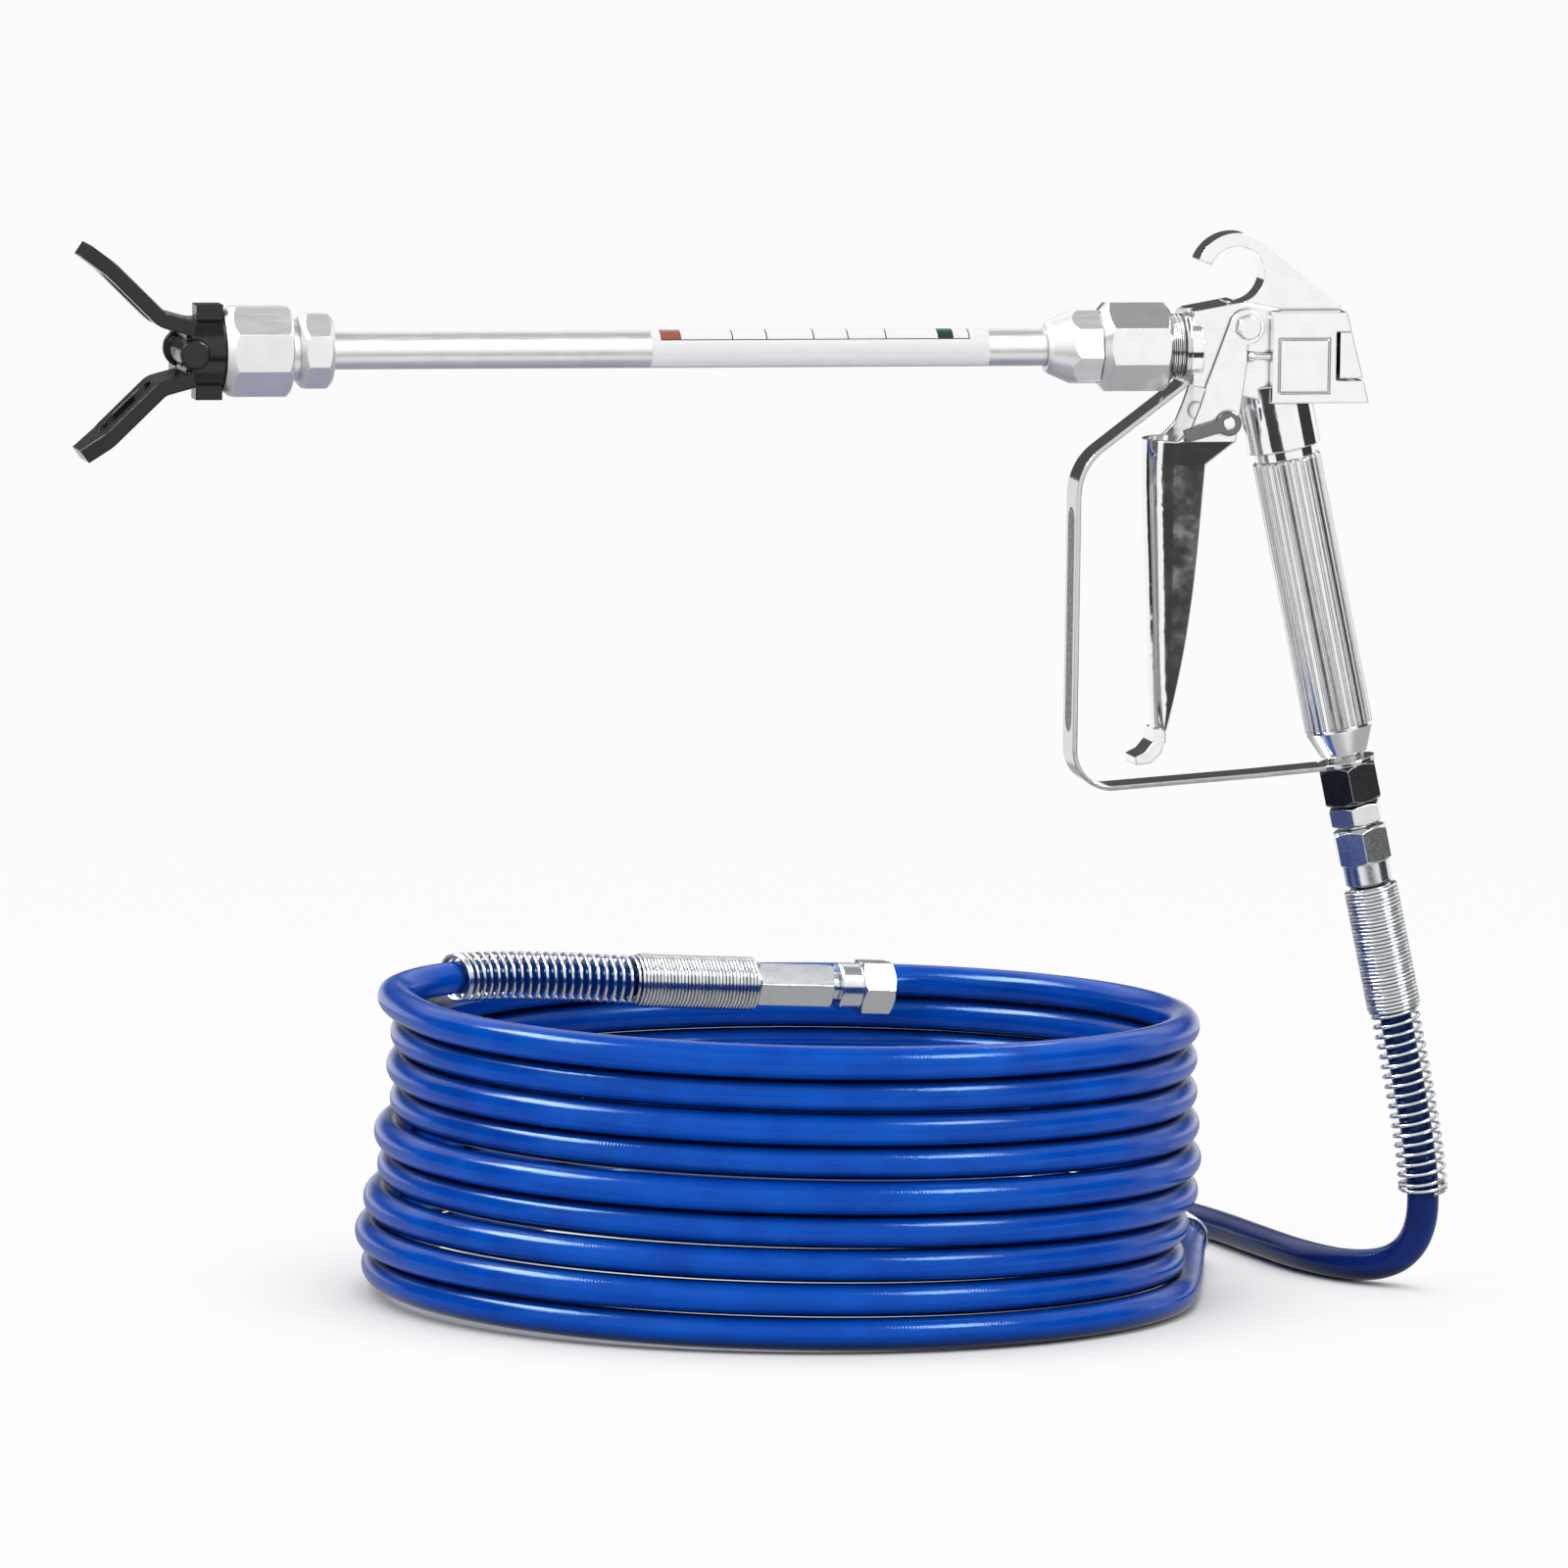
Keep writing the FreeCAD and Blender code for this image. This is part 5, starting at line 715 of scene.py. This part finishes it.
def is_seen(tree):
    """One where the ray comes from the camera, a reflection or a refraction."""
    rays = add_node(tree, "ShaderNodeLightPath").outputs
    first = {0: rays["Is Camera Ray"], 1: rays["Is Glossy Ray"]}
    direct = add_node(tree, "ShaderNodeMath", first, operation="MAXIMUM").outputs[0]
    second = {0: direct, 1: rays["Is Transmission Ray"]}
    return add_node(tree, "ShaderNodeMath", second, operation="MAXIMUM").outputs[0]


def make_world():
    """White to the camera and in reflections, and dimmer as light on the object."""
    world = bpy.data.worlds.new("studio")
    scene.world = world
    world.use_nodes = True
    tree = world.node_tree
    tree.nodes.clear()
    dim = add_node(tree, "ShaderNodeBackground", {"Color": WHITE, "Strength": WORLD_LIGHT})
    white = add_node(tree, "ShaderNodeBackground", {"Color": WHITE, "Strength": 1.0})
    shaders = {0: is_seen(tree), 1: dim.outputs[0], 2: white.outputs[0]}
    mix = add_node(tree, "ShaderNodeMixShader", shaders)
    add_node(tree, "ShaderNodeOutputWorld", {0: mix.outputs[0]})


def sheet(name, half_width, half_depth, height=0.0):
    """A flat piece of the stage, and the empty node tree of its material."""
    mesh = bpy.data.meshes.new(name)
    signs = ((-1, -1), (1, -1), (1, 1), (-1, 1))
    corners = [(x * half_width, y * half_depth, height) for x, y in signs]
    mesh.from_pydata(corners, [], [(0, 1, 2, 3)])
    thing = bpy.data.objects.new(name, mesh)
    scene.collection.objects.link(thing)
    material = bpy.data.materials.new(name)
    mesh.materials.append(material)
    material.use_nodes = True
    material.node_tree.nodes.clear()
    return thing, material.node_tree


def make_floor():
    """A pale floor that glows white away from the object and keeps its shadow."""
    tree = sheet("floor", FLOOR_HALF, FLOOR_HALF, FLOOR_HEIGHT)[1]
    plain = add_node(tree, "ShaderNodeBsdfDiffuse", {"Color": FLOOR_GREY})
    glow = add_node(tree, "ShaderNodeEmission", {"Color": WHITE, "Strength": 1.0})
    near = add_node(tree, "ShaderNodeAmbientOcclusion", {"Distance": SHADE_REACH}, samples=8)
    reach = {"Value": near.outputs["AO"], "From Min": SHADE_FROM, "From Max": SHADE_TO}
    open_share = add_node(tree, "ShaderNodeMapRange", reach).outputs["Result"]
    clear = add_node(tree, "ShaderNodeMath", {0: is_seen(tree), 1: open_share}, operation="MULTIPLY")
    share = add_node(tree, "ShaderNodeMath", {0: clear.outputs[0], 1: FLOOR_GLOW}, operation="MULTIPLY")
    shaders = {0: share.outputs[0], 1: plain.outputs[0], 2: glow.outputs[0]}
    mix = add_node(tree, "ShaderNodeMixShader", shaders)
    add_node(tree, "ShaderNodeOutputMaterial", {0: mix.outputs[0]})


def face(thing, place, aim):
    """Puts a lamp or card at a place, turned towards another."""
    thing.location = place
    thing.rotation_euler = (Vector(aim) - Vector(place)).to_track_quat("-Z", "Y").to_euler()


def lamp(name, place, width, height, power):
    """A soft rectangular lamp for the matt share of every surface."""
    data = bpy.data.lights.new(name, "AREA")
    data.shape = "RECTANGLE"
    data.size = width
    data.size_y = height
    data.energy = power
    thing = bpy.data.objects.new(name, data)
    face(thing, place, MIDDLE)
    scene.collection.objects.link(thing)
    thing.visible_glossy = False


def card(name, place, aim, width, height, grey):
    """A card, dark or glowing, that only polished surfaces see, as a studio uses to draw chrome."""
    thing, tree = sheet(name, width / 2, height / 2)
    face(thing, place, aim)
    thing.visible_camera = False
    thing.visible_diffuse = False
    thing.visible_shadow = False
    thing.visible_transmission = False
    glow = add_node(tree, "ShaderNodeEmission", {"Color": (grey, grey, grey, 1)})
    add_node(tree, "ShaderNodeOutputMaterial", {0: glow.outputs[0]})


make_world()
make_floor()
lamp("key", (-1.6, -1.9, 1.6), width=0.8, height=1.2, power=20)
lamp("fill", (1.9, -1.8, 1.1), width=0.7, height=1.2, power=12)
lamp("top", (-0.2, 0.3, 1.9), width=1.4, height=0.9, power=12)
card("card_back", (0.3, 3.2, 0.62), (0.3, 0.0, 0.62), width=7.0, height=1.0, grey=0.09)
card("card_left", (-1.35, 0.48, 0.15), HEAD, width=1.2, height=0.78, grey=0.015)
card("card_right", (1.34, -0.29, 0.15), HEAD, width=1.3, height=0.78, grey=0.04)
card("card_front", (0.0, -1.02, -0.2395), (0.0, -1.02, 1.0), width=3.6, height=0.86, grey=0.05)
card("card_under", (0.0, 0.30, -0.2395), (0.0, 0.30, 1.0), width=3.6, height=0.90, grey=0.42)
card("card_over", (0.0, 0.0, 2.0), (0.0, 0.0, 0.0), width=2.4, height=3.0, grey=0.34)
card("box_left", (-2.2, 0.45, 1.9), COIL, width=1.6, height=0.9, grey=26.0)
card("box_right", (1.35, -1.5, 1.8), COIL, width=1.0, height=0.9, grey=26.0)


scene.view_settings.view_transform = "Standard"
bpy.context.view_layer.update()
